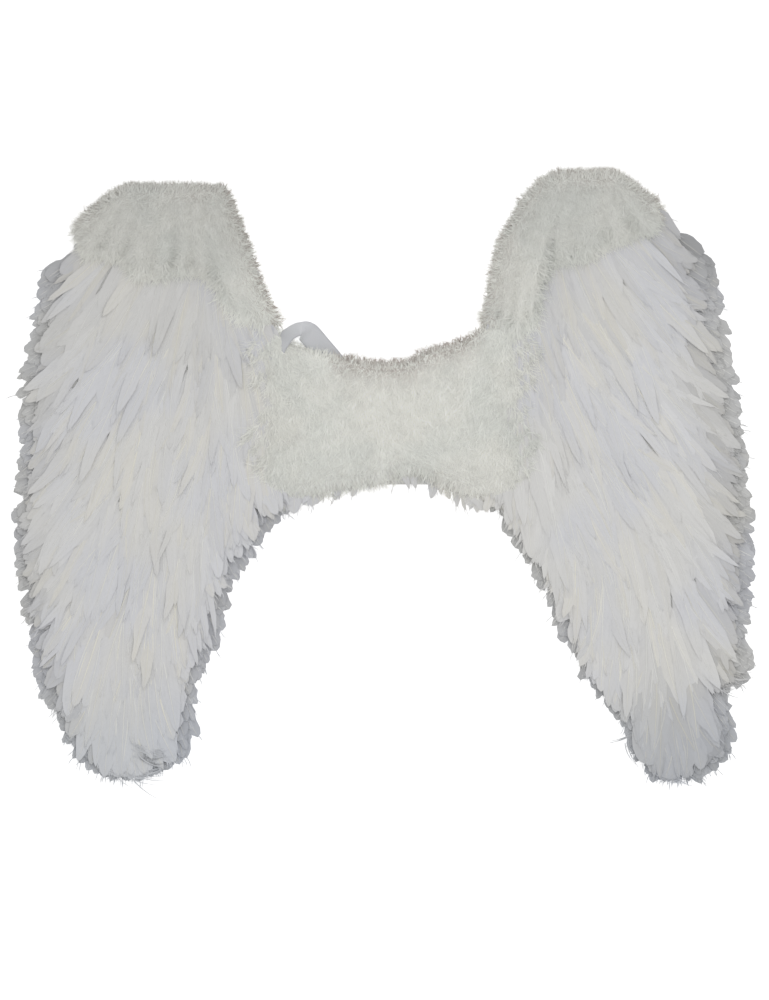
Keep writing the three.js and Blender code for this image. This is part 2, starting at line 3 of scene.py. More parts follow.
import bpy
import numpy as np
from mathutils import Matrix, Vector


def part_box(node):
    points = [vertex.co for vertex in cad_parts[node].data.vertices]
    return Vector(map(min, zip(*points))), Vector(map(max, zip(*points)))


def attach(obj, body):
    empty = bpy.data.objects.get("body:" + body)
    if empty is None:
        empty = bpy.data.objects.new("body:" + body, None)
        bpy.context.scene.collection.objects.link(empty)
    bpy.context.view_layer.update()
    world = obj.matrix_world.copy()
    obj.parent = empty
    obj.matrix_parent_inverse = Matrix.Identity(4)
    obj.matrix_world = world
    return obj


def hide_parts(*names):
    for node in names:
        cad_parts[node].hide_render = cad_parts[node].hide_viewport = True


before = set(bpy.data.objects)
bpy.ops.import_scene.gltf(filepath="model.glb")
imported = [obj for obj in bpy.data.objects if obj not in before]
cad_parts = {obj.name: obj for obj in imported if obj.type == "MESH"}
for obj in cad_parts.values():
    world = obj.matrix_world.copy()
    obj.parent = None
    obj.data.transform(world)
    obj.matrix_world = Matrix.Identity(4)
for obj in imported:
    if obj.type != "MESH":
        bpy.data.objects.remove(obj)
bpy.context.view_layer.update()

# Shapes are worked out in millimetres from the middle of the yoke, and become metres in addPiece
panelLow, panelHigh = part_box("centre_panel")
panelTop = 146
origin = np.array([(panelLow.x + panelHigh.x) * 500, panelHigh.y * 1000 - panelTop, 0])


def mix(a, b, share):
    return a + (b - a) * share


def smooth(low, high, value):
    # 0 up to low, 1 from high on, and the soft S curve 3t^2 - 2t^3 between
    t = np.clip((value - low) / (high - low), 0, 1)
    return t * t * (3 - 2 * t)


def onTable(table, value):
    # straight lines between the pairs of a table
    return np.interp(value, [pair[0] for pair in table], [pair[1] for pair in table])


def lengthAlong(x, y):
    # how far each point lies along the line through them all
    return np.concatenate([[0], np.cumsum(np.hypot(np.diff(x), np.diff(y)))])


def mathsMethod(operation, turned=False):
    # one operator of Wire; turned for the form that Python calls when the Wire stands on the right
    def method(self, other):
        return self.paint.maths(operation, *((other, self) if turned else (self, other)))

    return method


class Wire:
    # shader maths as Python expressions: a node's output socket, on which each +, - and * adds a Math node
    def __init__(self, paint, socket):
        self.paint = paint
        self.socket = socket

    __add__ = mathsMethod("ADD")
    __radd__ = mathsMethod("ADD", turned=True)
    __sub__ = mathsMethod("SUBTRACT")
    __rsub__ = mathsMethod("SUBTRACT", turned=True)
    __mul__ = mathsMethod("MULTIPLY")
    __rmul__ = mathsMethod("MULTIPLY", turned=True)


class Paint:
    # one material, with its Principled shader and short ways to wire nodes into it
    def __init__(self, name, roughness, sheen=0.0, specular=0.3):
        self.material = bpy.data.materials.new(name)
        self.material.use_nodes = True
        self.tree = self.material.node_tree
        self.shader = self.tree.nodes["Principled BSDF"]
        self.shader.inputs["Roughness"].default_value = roughness
        self.shader.inputs["Sheen Weight"].default_value = sheen
        self.shader.inputs["Sheen Roughness"].default_value = 0.6
        self.shader.inputs["Specular IOR Level"].default_value = specular

    def feed(self, socket, value):
        if isinstance(value, Wire):
            self.tree.links.new(value.socket, socket)
        elif isinstance(value, tuple) and socket.type == "RGBA":
            socket.default_value = (*value, 1)
        else:
            socket.default_value = value

    def node(self, kind, settings, inputs, output=0):
        # any node: its settings first, then the values or links of its sockets
        made = self.tree.nodes.new(kind)
        for key, value in settings.items():
            setattr(made, key, value)
        for key, value in inputs.items():
            self.feed(made.inputs[key], value)
        return Wire(self, made.outputs[output])

    def maths(self, operation, first, second=0):
        return self.node("ShaderNodeMath", {"operation": operation}, {0: first, 1: second})

    def value(self, name):
        return self.node("ShaderNodeAttribute", {"attribute_name": name}, {}, "Fac")

    def ramp(self, low, high, value):
        # 0 up to low, 1 from high on
        inputs = {"Value": value, "From Min": low, "From Max": high}
        return self.node("ShaderNodeMapRange", {"interpolation_type": "SMOOTHSTEP"}, inputs)

    def noise(self, place, scale, detail=3.0, roughness=0.5):
        inputs = {"Vector": place, "Scale": scale, "Detail": detail, "Roughness": roughness}
        return self.node("ShaderNodeTexNoise", {}, inputs, "Fac")

    def blendColours(self, share, first, second):
        settings = {"data_type": "RGBA"}
        return self.node("ShaderNodeMix", settings, {0: share, 6: first, 7: second}, 2)

    def scaleColour(self, colour, amount):
        settings = {"operation": "SCALE"}
        return self.node("ShaderNodeVectorMath", settings, {0: colour, "Scale": amount})

    def joined(self, x, y, z):
        return self.node("ShaderNodeCombineXYZ", {}, {0: x, 1: y, 2: z})

    def parted(self, vector):
        first = self.node("ShaderNodeSeparateXYZ", {}, {0: vector})
        return [Wire(self, socket) for socket in first.socket.node.outputs]

    def objectPlace(self):
        return self.node("ShaderNodeTexCoord", {}, {}, "Object")

    def sheetPlace(self):
        return self.node("ShaderNodeUVMap", {"uv_map": "sheet"}, {})

    def finish(self, colour, height=None, strength=0.3, depth=0.001):
        self.feed(self.shader.inputs["Base Color"], colour)
        if height is not None:
            inputs = {"Strength": strength, "Distance": depth, "Height": height}
            bump = self.node("ShaderNodeBump", {}, inputs)
            self.feed(self.shader.inputs["Normal"], bump)
        return self.material


def featherPaint(name, whites):
    # Sheet x runs across the vane from 0 to 1 and y along it in tenths of a metre. Barbs leave the quill
    # at a slant, so the streak noise reads y minus a share of the distance from the quill.
    paint = Paint(name, roughness=0.62, sheen=0.25, specular=0.25)
    x, y, _ = paint.parted(paint.sheetPlace())
    own = paint.value("own")
    offQuill = paint.maths("ABSOLUTE", x - 0.5)
    barb = y * 10 - offQuill * 1.3
    streaks = paint.noise(paint.joined(barb * 5.0, offQuill * 1.2, own * 50), 1.0, 4.0, 0.65)
    strips = paint.noise(paint.joined(x * 9, y * 4, own * 30), 1.0, 3.0)
    drift = paint.noise(paint.objectPlace(), 9.0, 2.0)
    quill = 1 - paint.ramp(0.015, 0.045, offQuill)
    cool, warm = whites
    base = paint.blendColours(paint.ramp(0.4, 0.62, drift), cool, warm)
    base = paint.blendColours(paint.value("cream") * 0.35, base, (0.88, 0.83, 0.68))
    # painted shade: below 0.2 m down in object space the colour turns a cool blue grey, fully by 0.31 m
    paintedTipShade = 1 - paint.ramp(-0.31, -0.2, paint.parted(paint.objectPlace())[1])
    base = paint.blendColours(paintedTipShade * 0.5, base, (0.66, 0.70, 0.77))
    quillColour = paint.blendColours(paint.value("cream"), (0.86, 0.86, 0.83), (0.94, 0.91, 0.77))
    base = paint.blendColours(quill * 0.8, base, quillColour)
    tone = paint.value("tone") * (0.88 + 0.12 * streaks + 0.12 * strips)
    height = streaks * 0.7 + quill * 1.2
    return paint.finish(paint.scaleColour(base, tone), height, 0.45, 0.0008)


def furPaint():
    # Strands are darker at the root, painted shade where the pile shadows them. The value "wisp" marks the
    # brownish grey tips along the upper edges.
    paint = Paint("furWhite", roughness=0.85, sheen=0.35, specular=0.15)
    place = paint.objectPlace()
    drift = paint.noise(place, 14.0, 2.0)
    fibres = paint.noise(place, 700.0, 2.0)
    base = paint.blendColours(paint.ramp(0.38, 0.62, drift), (0.79, 0.80, 0.76), (0.83, 0.83, 0.785))
    base = paint.blendColours(paint.value("wisp"), base, (0.30, 0.24, 0.21))
    # painted shade: the tone falls from tip to root along each strand
    tone = paint.value("tone") * (0.92 + 0.1 * paint.value("along")) * (0.95 + 0.1 * fibres)
    return paint.finish(paint.scaleColour(base, tone), fibres, 0.4, 0.0006)


def backingPaint():
    # plain stiff white felt: matted fibres and a slight cloudiness
    paint = Paint("backingFelt", roughness=0.9, sheen=0.2, specular=0.2)
    place = paint.objectPlace()
    fibres = paint.noise(place, 900.0, 4.0, 0.7)
    clouds = paint.noise(place, 25.0, 3.0)
    base = paint.blendColours(clouds, (0.74, 0.74, 0.72), (0.80, 0.80, 0.78))
    return paint.finish(paint.scaleColour(base, 0.9 + 0.2 * fibres), fibres, 0.5, 0.0005)


def elasticPaint():
    # Woven elastic: fine ribs across the band and a few cords along it. Sheet x runs across the band from 0
    # to 1, and y along it in tenths of a metre.
    paint = Paint("elasticWeave", roughness=0.6, sheen=0.15, specular=0.3)
    x, y, _ = paint.parted(paint.sheetPlace())
    ribs = paint.maths("SINE", y * 440)
    cords = paint.maths("SINE", x * 70)
    weave = 0.5 + 0.3 * ribs + 0.2 * cords
    edge = paint.ramp(0.42, 0.5, paint.maths("ABSOLUTE", x - 0.5))
    base = paint.blendColours(weave, (0.64, 0.65, 0.67), (0.74, 0.75, 0.78))
    return paint.finish(paint.scaleColour(base, 1 - 0.12 * edge), weave, 0.4, 0.0004)


def floorPaint():
    # a plain pale floor with a very faint grain, lit a little from within so that it stays white
    paint = Paint("paleFloor", roughness=0.9, specular=0.1)
    grain = paint.noise(paint.objectPlace(), 30.0, 2.0)
    paint.shader.inputs["Emission Color"].default_value = (1, 1, 1, 1)
    paint.shader.inputs["Emission Strength"].default_value = 0.5
    return paint.finish(paint.blendColours(grain, (0.9, 0.9, 0.9), (0.92, 0.92, 0.92)))


def gridFaces(rows, columns, count=1):
    # the four corners of every cell of `count` separate grids
    i, j = np.meshgrid(np.arange(rows - 1), np.arange(columns - 1), indexing="ij")
    corner = (i * columns + j).ravel()
    cell = np.stack([corner, corner + 1, corner + columns + 1, corner + columns], 1)
    starts = np.arange(count)[:, None, None] * rows * columns
    return (cell[None] + starts).reshape(-1, 4)


def closedLoft(loops):
    # loops[k] is one ring of points; walls join each ring to the next, and an end cap closes each end
    rings, size = loops.shape[:2]
    ring, at = np.meshgrid(np.arange(rings - 1), np.arange(size), indexing="ij")
    here = (ring * size + at).ravel()
    after = (ring * size + (at + 1) % size).ravel()
    walls = np.stack([here, after, after + size, here + size], 1)
    points = loops.reshape(-1, 3)
    half = size // 2
    k = np.arange(half - 1)
    cap = np.stack([k, size - 1 - k, size - 2 - k, k + 1], 1)
    faces = np.concatenate([walls, cap, cap[:, ::-1] + (rings - 1) * size])
    a, b, c, d = (points[faces[:, m]] for m in range(4))
    volume = (np.cross(b - a, c - a) * a).sum() + (np.cross(c - a, d - a) * a).sum()
    return points, faces if volume > 0 else faces[:, ::-1]


def addPiece(name, points, faces, paint, nodes, values=None, sheet=None):
    # faces is a list of whole arrays, one for each number of corners
    mesh = bpy.data.meshes.new(name)
    place = (points + origin) / 1000
    corners = np.concatenate([f.ravel() for f in faces]).astype(np.int32)
    sizes = np.concatenate([np.full(len(f), f.shape[1]) for f in faces]).astype(np.int32)
    starts = np.concatenate([[0], np.cumsum(sizes)[:-1]]).astype(np.int32)
    mesh.vertices.add(len(place))
    mesh.vertices.foreach_set("co", place.astype(np.float32).ravel())
    mesh.loops.add(len(corners))
    mesh.loops.foreach_set("vertex_index", corners)
    mesh.polygons.add(len(sizes))
    mesh.polygons.foreach_set("loop_start", starts)
    mesh.polygons.foreach_set("use_smooth", np.ones(len(sizes), bool))
    mesh.update(calc_edges=True)
    for key, value in (values or {}).items():
        layer = mesh.attributes.new(key, "FLOAT", "POINT")
        layer.data.foreach_set("value", value.astype(np.float32).ravel())
    if sheet is not None:
        layer = mesh.uv_layers.new(name="sheet")
        layer.data.foreach_set("uv", sheet[corners].astype(np.float32).ravel())
    mesh.materials.append(paint)
    mesh.validate()
    piece = bpy.data.objects.new(name, mesh)
    bpy.context.scene.collection.objects.link(piece)
    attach(piece, "root")
    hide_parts(*nodes)


# The two wings' outline and rows. stations: down (share of the height), then outer, spine and inner
# (shares of the width, in from the outermost tip). rows: where the row starts, as a share of the height,
# and how far out it runs. parting: share of the height down, and how far from the spine the feathers part.
leftWing = {
    "side": -1, "height": 654, "width": 320, "reach": 404, "top": 324,
    "cap": 0.156, "trimWidth": 36, "bandEnd": 300, "furInner": 0.975, "furTone": 0.97, "trimTone": 1.07,
    "trimBlend": 0.32, "featherTone": 1.0,
    "parting": [(0.3, -0.55), (0.55, -0.3), (0.8, 0), (1, 0)],
    "stations": np.array([
        [0.0, 0.412, 0.548, 0.708], [0.03, 0.296, 0.538, 0.742], [0.097, 0.146, 0.525, 0.8],
        [0.163, 0.109, 0.514, 0.845], [0.23, 0.068, 0.504, 0.909], [0.297, 0.037, 0.49, 0.947],
        [0.363, 0.01, 0.48, 0.991], [0.43, 0.014, 0.47, 1.015], [0.497, 0.007, 0.456, 1.015],
        [0.53, 0.01, 0.45, 0.995], [0.563, 0.003, 0.439, 0.906], [0.613, 0.0, 0.429, 0.821],
        [0.697, 0.017, 0.412, 0.725], [0.78, 0.054, 0.395, 0.685], [0.863, 0.089, 0.385, 0.61],
        [0.913, 0.163, 0.381, 0.593], [0.963, 0.198, 0.385, 0.579], [1.0, 0.31, 0.388, 0.463],
    ]),
    "rows": [(0.176, 0.93), (0.306, 0.95), (0.435, 0.95), (0.57, 0.94), (0.705, 0.92), (0.84, 0.86)],
}
rightWing = {
    "side": 1, "height": 672, "width": 320, "reach": 404, "top": 339,
    "cap": 0.152, "trimWidth": 54, "bandEnd": 278, "furInner": 0.93, "furTone": 1.01, "trimTone": 0.965,
    "trimBlend": 0.2, "featherTone": 1.02,
    "parting": [(0.3, -0.55), (0.5, -0.38), (0.6, 0), (0.72, 0.33), (0.85, 0.2), (1, 0)],
    "stations": np.array([
        [0.0, 0.521, 0.579, 0.623], [0.019, 0.433, 0.613, 0.736], [0.052, 0.341, 0.647, 0.8],
        [0.117, 0.17, 0.691, 0.879], [0.182, 0.129, 0.715, 0.913], [0.263, 0.099, 0.722, 0.937],
        [0.311, 0.072, 0.722, 0.943], [0.376, 0.058, 0.712, 0.964], [0.441, 0.034, 0.685, 0.978],
        [0.506, 0.017, 0.644, 0.978], [0.538, 0.014, 0.62, 0.937], [0.571, 0.01, 0.596, 0.869],
        [0.635, 0.003, 0.545, 0.79], [0.7, 0.007, 0.494, 0.708], [0.765, 0.024, 0.448, 0.656],
        [0.83, 0.01, 0.399, 0.579], [0.862, 0.133, 0.371, 0.528], [0.911, 0.082, 0.317, 0.453],
        [0.96, 0.092, 0.272, 0.399], [1.0, 0.187, 0.255, 0.33],
    ]),
    "rows": [(0.172, 0.94), (0.3, 0.95), (0.43, 0.95), (0.565, 0.95), (0.7, 0.93), (0.835, 0.88)],
}
# the fan of the feathers, in degrees at the two edges, and how far a level bows down towards them
fan = {"outer": 58, "inner": 32, "power": 0.85, "atBottom": 0.4, "narrowsFrom": 0.72,
       "sweepOuter": 0.45, "sweepInner": 0.2, "sweepPower": 1.7}
# thicknesses from the floor up, and where the things on the yoke's panel come down to the wing's backing
stack = {"base": 2.0, "panel": 2.0, "gap": 0.3, "panelHalf": 177, "stepStart": 2, "stepEnd": 28}
# the fur band over the yoke
band = {"top": 118, "bottom": 12, "overhang": 20, "furGap": 3}


def read(wing, column, down):
    stations = wing["stations"]
    return np.interp(down / wing["height"], stations[:, 0], stations[:, column]) * wing["width"]


def halfWidth(wing, down, n):
    # from the spine to the outer edge where n is above 0, and to the inner edge where it is below
    outwards = read(wing, 2, down) - read(wing, 1, down)
    inwards = read(wing, 3, down) - read(wing, 2, down)
    return np.where(n > 0, outwards, inwards)


def spotOn(wing, down, n):
    # across = spine - n * half width; x = side * (reach - across); y = top - down
    across = read(wing, 2, down) - n * halfWidth(wing, down, n)
    return wing["side"] * (wing["reach"] - across), wing["top"] - down + 0 * n


def lateral(wing, x, y):
    down = wing["top"] - y
    past = read(wing, 2, down) - (wing["reach"] - wing["side"] * x)
    return past / halfWidth(wing, down, past)


def rise(wing, down, n):
    # how much lower a level hangs at n than on the spine: sweep * half width * |n|^power
    sweep = np.where(n > 0, fan["sweepOuter"], fan["sweepInner"])
    return sweep * halfWidth(wing, down, n) * np.abs(n) ** fan["sweepPower"]


def levelAt(wing, x, y):
    down = wing["top"] - y
    return down + rise(wing, down, lateral(wing, x, y))


def onLevel(wing, wanted, n):
    down = wanted + 0 * n
    for _ in range(8):
        down = wanted - rise(wing, down, n)
    return spotOn(wing, down, n)


def headingAt(wing, n, y):
    # angle from straight down: fan * m^power, where m grows from 0 on the parting to 1 at the edge
    down = (wing["top"] - y) / wing["height"]
    parting = onTable(wing["parting"], down)
    past = np.clip(n, -1, 1) - parting
    share = np.abs(past) / np.where(past > 0, 1 - parting, 1 + parting)
    widest = np.where(past > 0, fan["outer"], -fan["inner"])
    narrowing = smooth(fan["narrowsFrom"], 1, down)
    return wing["side"] * np.radians(widest * mix(1, fan["atBottom"], narrowing) * share ** fan["power"])


def furFoot(wing, n):
    # the level at which the fur ends: the cap's lower edge, and the trim's end near the inner edge
    trimEnd = wing["top"] - band["top"] - 2 * band["overhang"] - band["furGap"]
    cap = wing["top"] - onLevel(wing, wing["cap"] * wing["height"], n)[1]
    trimShare = wing["trimWidth"] / halfWidth(wing, trimEnd, -1)
    return mix(cap, trimEnd, smooth(1 - trimShare - wing["trimBlend"], 1 - trimShare, -n))


def seatAt(x):
    # the level on which things lie: on the yoke's panel near the middle, else on the wing's backing
    onBase = stack["base"] + stack["gap"]
    onPanel = onBase + stack["panel"] + stack["gap"]
    past = np.abs(x) - stack["panelHalf"]
    return mix(onPanel, onBase, smooth(stack["stepStart"], stack["stepEnd"], past))


# loose barbs on each feather
barbs = {"length": 11, "width": 0.7}
# how every feather is built; barbLean is how far the barbs slant forward, as a share of their length
vane = {
    "along": np.array([0, 0.1, 0.24, 0.4, 0.56, 0.71, 0.84, 0.94, 1]),
    "across": np.array([-1, -0.55, 0, 0.55, 1]),
    "barbLean": 0.5, "camber": 0.1, "ridge": 0.4, "ripple": 0.22,
    "rootWidth": 0.25, "fullAt": 0.32, "narrowsAt": 0.35, "tipPower": 0.7,
}


pathKeys = ("x", "y", "heading", "span", "breadth", "turn", "taper")


def vaneSheets(x, y, heading, length, width, bend, pointed, notch, rng):
    # Grids of points for many feathers at once. The quill's path turns evenly by `bend` from root to tip.
    # The vane's half width is a quarter at the root, full by a third of the way, then narrows as
    # (1 - t^pointed)^0.7 to the tip, where t grows from 0 at vane["narrowsAt"] to 1. The barbs carry each
    # point forward by barbLean times its distance from the quill, and the edge is notched at random.
    v = vane["along"][None, :]
    u = vane["across"][None, None, :]
    theta = heading[:, None] + bend[:, None] * (v - vane["narrowsAt"])
    step = length[:, None] * np.diff(vane["along"], prepend=0)[None, :]
    pathX = x[:, None] + np.cumsum(np.sin(theta) * step, 1)
    pathY = y[:, None] - np.cumsum(np.cos(theta) * step, 1)
    grow = mix(vane["rootWidth"], 1, smooth(0, vane["fullAt"], v))
    t = np.clip((v - vane["narrowsAt"]) / (1 - vane["narrowsAt"]), 0, 1)
    taper = np.clip(1 - t ** pointed[:, None], 0, 1) ** vane["tipPower"]
    half = (width[:, None] / 2 * grow * taper)[:, :, None]
    torn = 1 - notch * rng.random((len(x), len(vane["along"]), 2)) ** 2.5
    edge = np.ones((len(x), len(vane["along"]), len(vane["across"])))
    edge[:, :, 0] = torn[:, :, 0]
    edge[:, :, -1] = torn[:, :, 1]
    off = u * half * edge
    forward = vane["barbLean"] * np.abs(off)
    sine = np.sin(theta)[:, :, None]
    cosine = np.cos(theta)[:, :, None]
    sheetX = pathX[:, :, None] - off * cosine + forward * sine
    sheetY = pathY[:, :, None] - off * sine - forward * cosine
    return sheetX, sheetY, off


def featherPiece(name, feathers, heightAt, paint, nodes, rng):
    # Feathers is a dictionary of whole arrays, one value a feather, but for notch, which they all share.
    # z = heightAt - camber * off^2 / half width, with a ridge along the quill, a tilt across the vane, a
    # curl that grows towards the tip, and a ripple along the edges.
    f = feathers
    count = len(f["x"])
    x, y, off = vaneSheets(*(f[key] for key in pathKeys), f["notch"], rng)
    v = vane["along"][None, :, None]
    u = vane["across"][None, None, :]
    half = f["breadth"][:, None, None] / 2
    z = heightAt(x, y, v)
    z = z - vane["camber"] * off ** 2 / half + vane["ridge"] * (np.abs(u) < 0.1)
    z = z + f["tilt"][:, None, None] * off
    z = z + f["tipCurl"][:, None, None] * smooth(0.45, 1, v) * (0.4 + 0.6 * v)
    wave = np.sin(v * f["waves"][:, None, None] + f["own"][:, None, None] * 40 + u * 1.5)
    z = z + vane["ripple"] * wave * np.abs(u)
    points = np.stack([x, y, np.maximum(z, 0.25)], 3).reshape(-1, 3)
    shape = x.shape
    spread = lambda value: np.broadcast_to(value[:, None, None], shape)
    values = {key: spread(f[key]).ravel() for key in ("tone", "cream", "own")}
    tenths = v * f["span"][:, None, None] / 100
    sheet = np.stack(np.broadcast_arrays(0.5 + 0.5 * u, tenths), 3).reshape(-1, 2)
    faces = gridFaces(shape[1], shape[2], count)
    barbPoints, barbFaces, owner, barbSheet = looseBarbs(np.stack([x, y, z], 3), f, rng)
    values = {key: np.concatenate([values[key], np.repeat(f[key][owner], 6)]) for key in values}
    sheet = np.concatenate([sheet, barbSheet])
    joined = np.concatenate([points, barbPoints])
    addPiece(name, joined, [faces, barbFaces + len(points)], paint, nodes, values, sheet)


def bladesAlong(x, y, z, heading, half, roll=0.0):
    # Flat blades along whole arrays of paths, two points a step: half the width to each side of the
    # heading, tipped up by roll.
    sides = (-np.cos(heading) * np.cos(roll), -np.sin(heading) * np.cos(roll), np.sin(roll))
    across = np.stack([side * half for side in sides], 2)
    path = np.stack(np.broadcast_arrays(x, y, z), 2)
    return np.stack([path - across, path + across], 2)


def looseBarbs(grid, f, rng):
    # Single barbs that have come loose along the edges and the tip: blades of three cross-sections that
    # start on the sheet at a random v and u, and leave it at a slant from the quill.
    count = len(grid)
    owner = np.repeat(np.arange(count), f["loose"])
    total = len(owner)
    v = 1 - rng.random(total) ** 1.3 * 0.75
    sign = np.where(rng.random(total) < 0.5, -1.0, 1.0)
    u = sign * rng.uniform(0.35, 0.95, total)
    row = np.interp(v, vane["along"], np.arange(len(vane["along"])))
    column = np.interp(u, vane["across"], np.arange(len(vane["across"])))
    i = np.minimum(row.astype(int), len(vane["along"]) - 2)
    j = np.minimum(column.astype(int), len(vane["across"]) - 2)
    a, b = (row - i)[:, None], (column - j)[:, None]
    start = mix(mix(grid[owner, i, j], grid[owner, i, j + 1], b),
                mix(grid[owner, i + 1, j], grid[owner, i + 1, j + 1], b), a)
    bend = f["turn"][owner] * (v - vane["narrowsAt"])
    heading = f["heading"][owner] + bend - sign * np.radians(rng.uniform(4, 26, total))
    length = barbs["length"] * rng.uniform(0.4, 1.2, total)
    steps = np.array([0, 0.55, 1.0])[None, :]
    turn = heading[:, None] + sign[:, None] * rng.uniform(0.0, 0.35, total)[:, None] * steps
    x = start[:, :1] + np.sin(turn) * length[:, None] * steps
    y = start[:, 1:2] - np.cos(turn) * length[:, None] * steps
    z = start[:, 2:3] + 0.3 + rng.uniform(-0.5, 0.7, total)[:, None] * steps
    half = barbs["width"] / 2 * rng.uniform(0.7, 1.3, total)[:, None] * np.array([0.7, 1.0, 0.1])[None, :]
    points = bladesAlong(x, y, np.maximum(z, 0.2), turn, half).reshape(-1, 3)
    place = np.stack([0.5 + 0.4 * u, v * f["span"][owner] / 100], 1)
    place = np.broadcast_to(place[:, None], (total, 6, 2))
    return points, gridFaces(3, 2, total), owner, place.reshape(-1, 2)


def feathersLike(look, x, y, heading, length, rng):
    count = len(x)
    spreadOf = lambda low, high: rng.uniform(low, high, count)
    return {
        "x": x, "y": y, "span": length,
        "heading": heading + np.radians(rng.normal(0, look["stray"], count)),
        "breadth": look["width"] * spreadOf(0.6, 1.3),
        "turn": np.radians(rng.normal(0, look["bend"], count)),
        "taper": spreadOf(*look["pointed"]),
        "notch": look["notch"],
        "loose": np.full(count, look["loose"]),
        "tipCurl": np.where(rng.random(count) < look["lifted"],
                            spreadOf(0.5, 3.0), spreadOf(*look["curl"])),
        "tilt": rng.normal(0, look["roll"], count),
        "waves": spreadOf(6, 14),
        "tone": np.clip(rng.normal(1, look["toneSpread"], count), 0.8, 1.1),
        "cream": np.clip(rng.random(count) * 1.6 - look["plain"], 0, 1),
        "own": rng.random(count),
    }


def insideBy(wing, x, y, gaps):
    down = wing["top"] - y
    n = lateral(wing, x, y)
    gap = np.where(n > 0, onTable(gaps["outer"], down / wing["height"]), gaps["inner"])
    across = np.abs(n) < 1 - gap / np.maximum(halfWidth(wing, down, n), 1)
    return across & (down < wing["height"] - gaps["end"]) & (down > 0)


def furEdge(wing, n, y, look):
    # the level where the fur ends, read `underTrim` mm further out, so that roots also reach under the trim
    tuck = look["underTrim"] / halfWidth(wing, wing["top"] - y, n)
    return furFoot(wing, np.where(n < 0, np.minimum(0, n + tuck), n))


def frontFeathers(wing, row, look, rng):
    # Roots lie along levels of the wing, `layers` of them to a row, at even steps with a random shift. A
    # feather that would run out past the outline is drawn back until its tip lies on the gap line.
    start, outer = wing["rows"][row]
    pitch = (wing["rows"][1][0] - wing["rows"][0][0]) * wing["height"]
    n = np.linspace(-0.99, outer, 240)
    sets = []
    for layer in range(-2 if row == 0 else 0, look["layers"]):
        level = start * wing["height"] + layer * pitch / look["layers"] + look["startShift"]
        px, py = onLevel(wing, level, n)
        run = lengthAlong(px, py)
        count = max(2, int(run[-1] / look["spacing"]))
        at = (np.arange(count) + rng.uniform(0.0, 1.0, count)) * look["spacing"]
        parting = onTable(wing["parting"], level / wing["height"])
        nearParting = parting + look["aside"] * rng.uniform(-1, 1, look["overParting"])
        nAt = np.concatenate([np.interp(at, run, n), nearParting])
        own = level + rng.normal(0, look["scatter"], len(nAt))
        sets.append(np.stack([*onLevel(wing, own, nAt), nAt, own], 1))
    x, y, n, level = np.concatenate(sets).T
    clearOfFur = wing["top"] - y > furEdge(wing, n, y, look) - look["underFur"]
    edge = wing["reach"] - wing["bandEnd"]
    clearOfBand = (np.abs(x) > edge - look["underBand"]) | (y < band["bottom"] + look["bandRise"])
    roots = look["rootGaps"]
    keep = clearOfFur & clearOfBand & insideBy(wing, x, y, roots) & (wing["top"] - y > look["belowTop"])
    x, y, n, level = x[keep], y[keep], n[keep], level[keep]
    heading = headingAt(wing, n, y)
    length = look["length"] * rng.uniform(0.85, 1.15, len(x))
    length = length * mix(1, look["rimLength"], np.clip(n, 0, 1) ** 2)
    share = np.linspace(0, 1, 26)[None, :]
    walkX = x[:, None] + np.sin(heading)[:, None] * length[:, None] * share
    walkY = y[:, None] - np.cos(heading)[:, None] * length[:, None] * share
    inside = insideBy(wing, walkX, walkY, look["gaps"][wing["side"]])
    reach = length * np.where(inside.all(1), 1, np.argmin(inside, 1) / 25)
    kept = np.clip(reach, look["least"], length)
    back = np.maximum(0, kept - reach)
    x = x - np.sin(heading) * back
    y = y + np.cos(heading) * back
    deepest = look["underFur"] + look["drawnUnder"]
    still = wing["top"] - y > furEdge(wing, lateral(wing, x, y), y, look) - deepest
    still = still & insideBy(wing, x, y, roots) & (wing["top"] - y > look["belowTop"])
    feathers = feathersLike(look, x[still], y[still], heading[still], kept[still], rng)
    ends = [vaneSheets(*(feathers[key] for key in pathKeys), 0, rng)[k][:, -1, 2] for k in (0, 1)]
    short = np.abs(lateral(wing, *ends)) < look["tipInside"]
    feathers = {key: value if key == "notch" else value[short] for key, value in feathers.items()}
    x, y, heading, level = x[still][short], y[still][short], heading[still][short], level[still][short]
    share = (wing["top"] - y + feathers["span"]) / wing["height"]
    feathers["loose"] = np.where(share > look["frayedFrom"], look["frayed"], look["loose"])
    feathers["breadth"] = feathers["breadth"] * mix(1, look["tipWidth"], smooth(*look["wideFrom"], share))
    reach = look["rimReach"]
    nTip = lateral(wing, x + np.sin(heading) * reach, y - np.cos(heading) * reach)
    nearCap = smooth(look["capReach"], 0, wing["top"] - y - furFoot(wing, lateral(wing, x, y)))
    shade = 1 - look["tipShade"][wing["side"]] * smooth(*look["tipShadeFrom"], share)
    rim = smooth(*look["rimFrom"], nTip)
    shade = shade * (1 - look["rimShade"][wing["side"]] * rim) * (1 - look["capShade"] * nearCap)
    feathers["tone"] = feathers["tone"] * shade * wing["featherTone"]
    return feathers, level


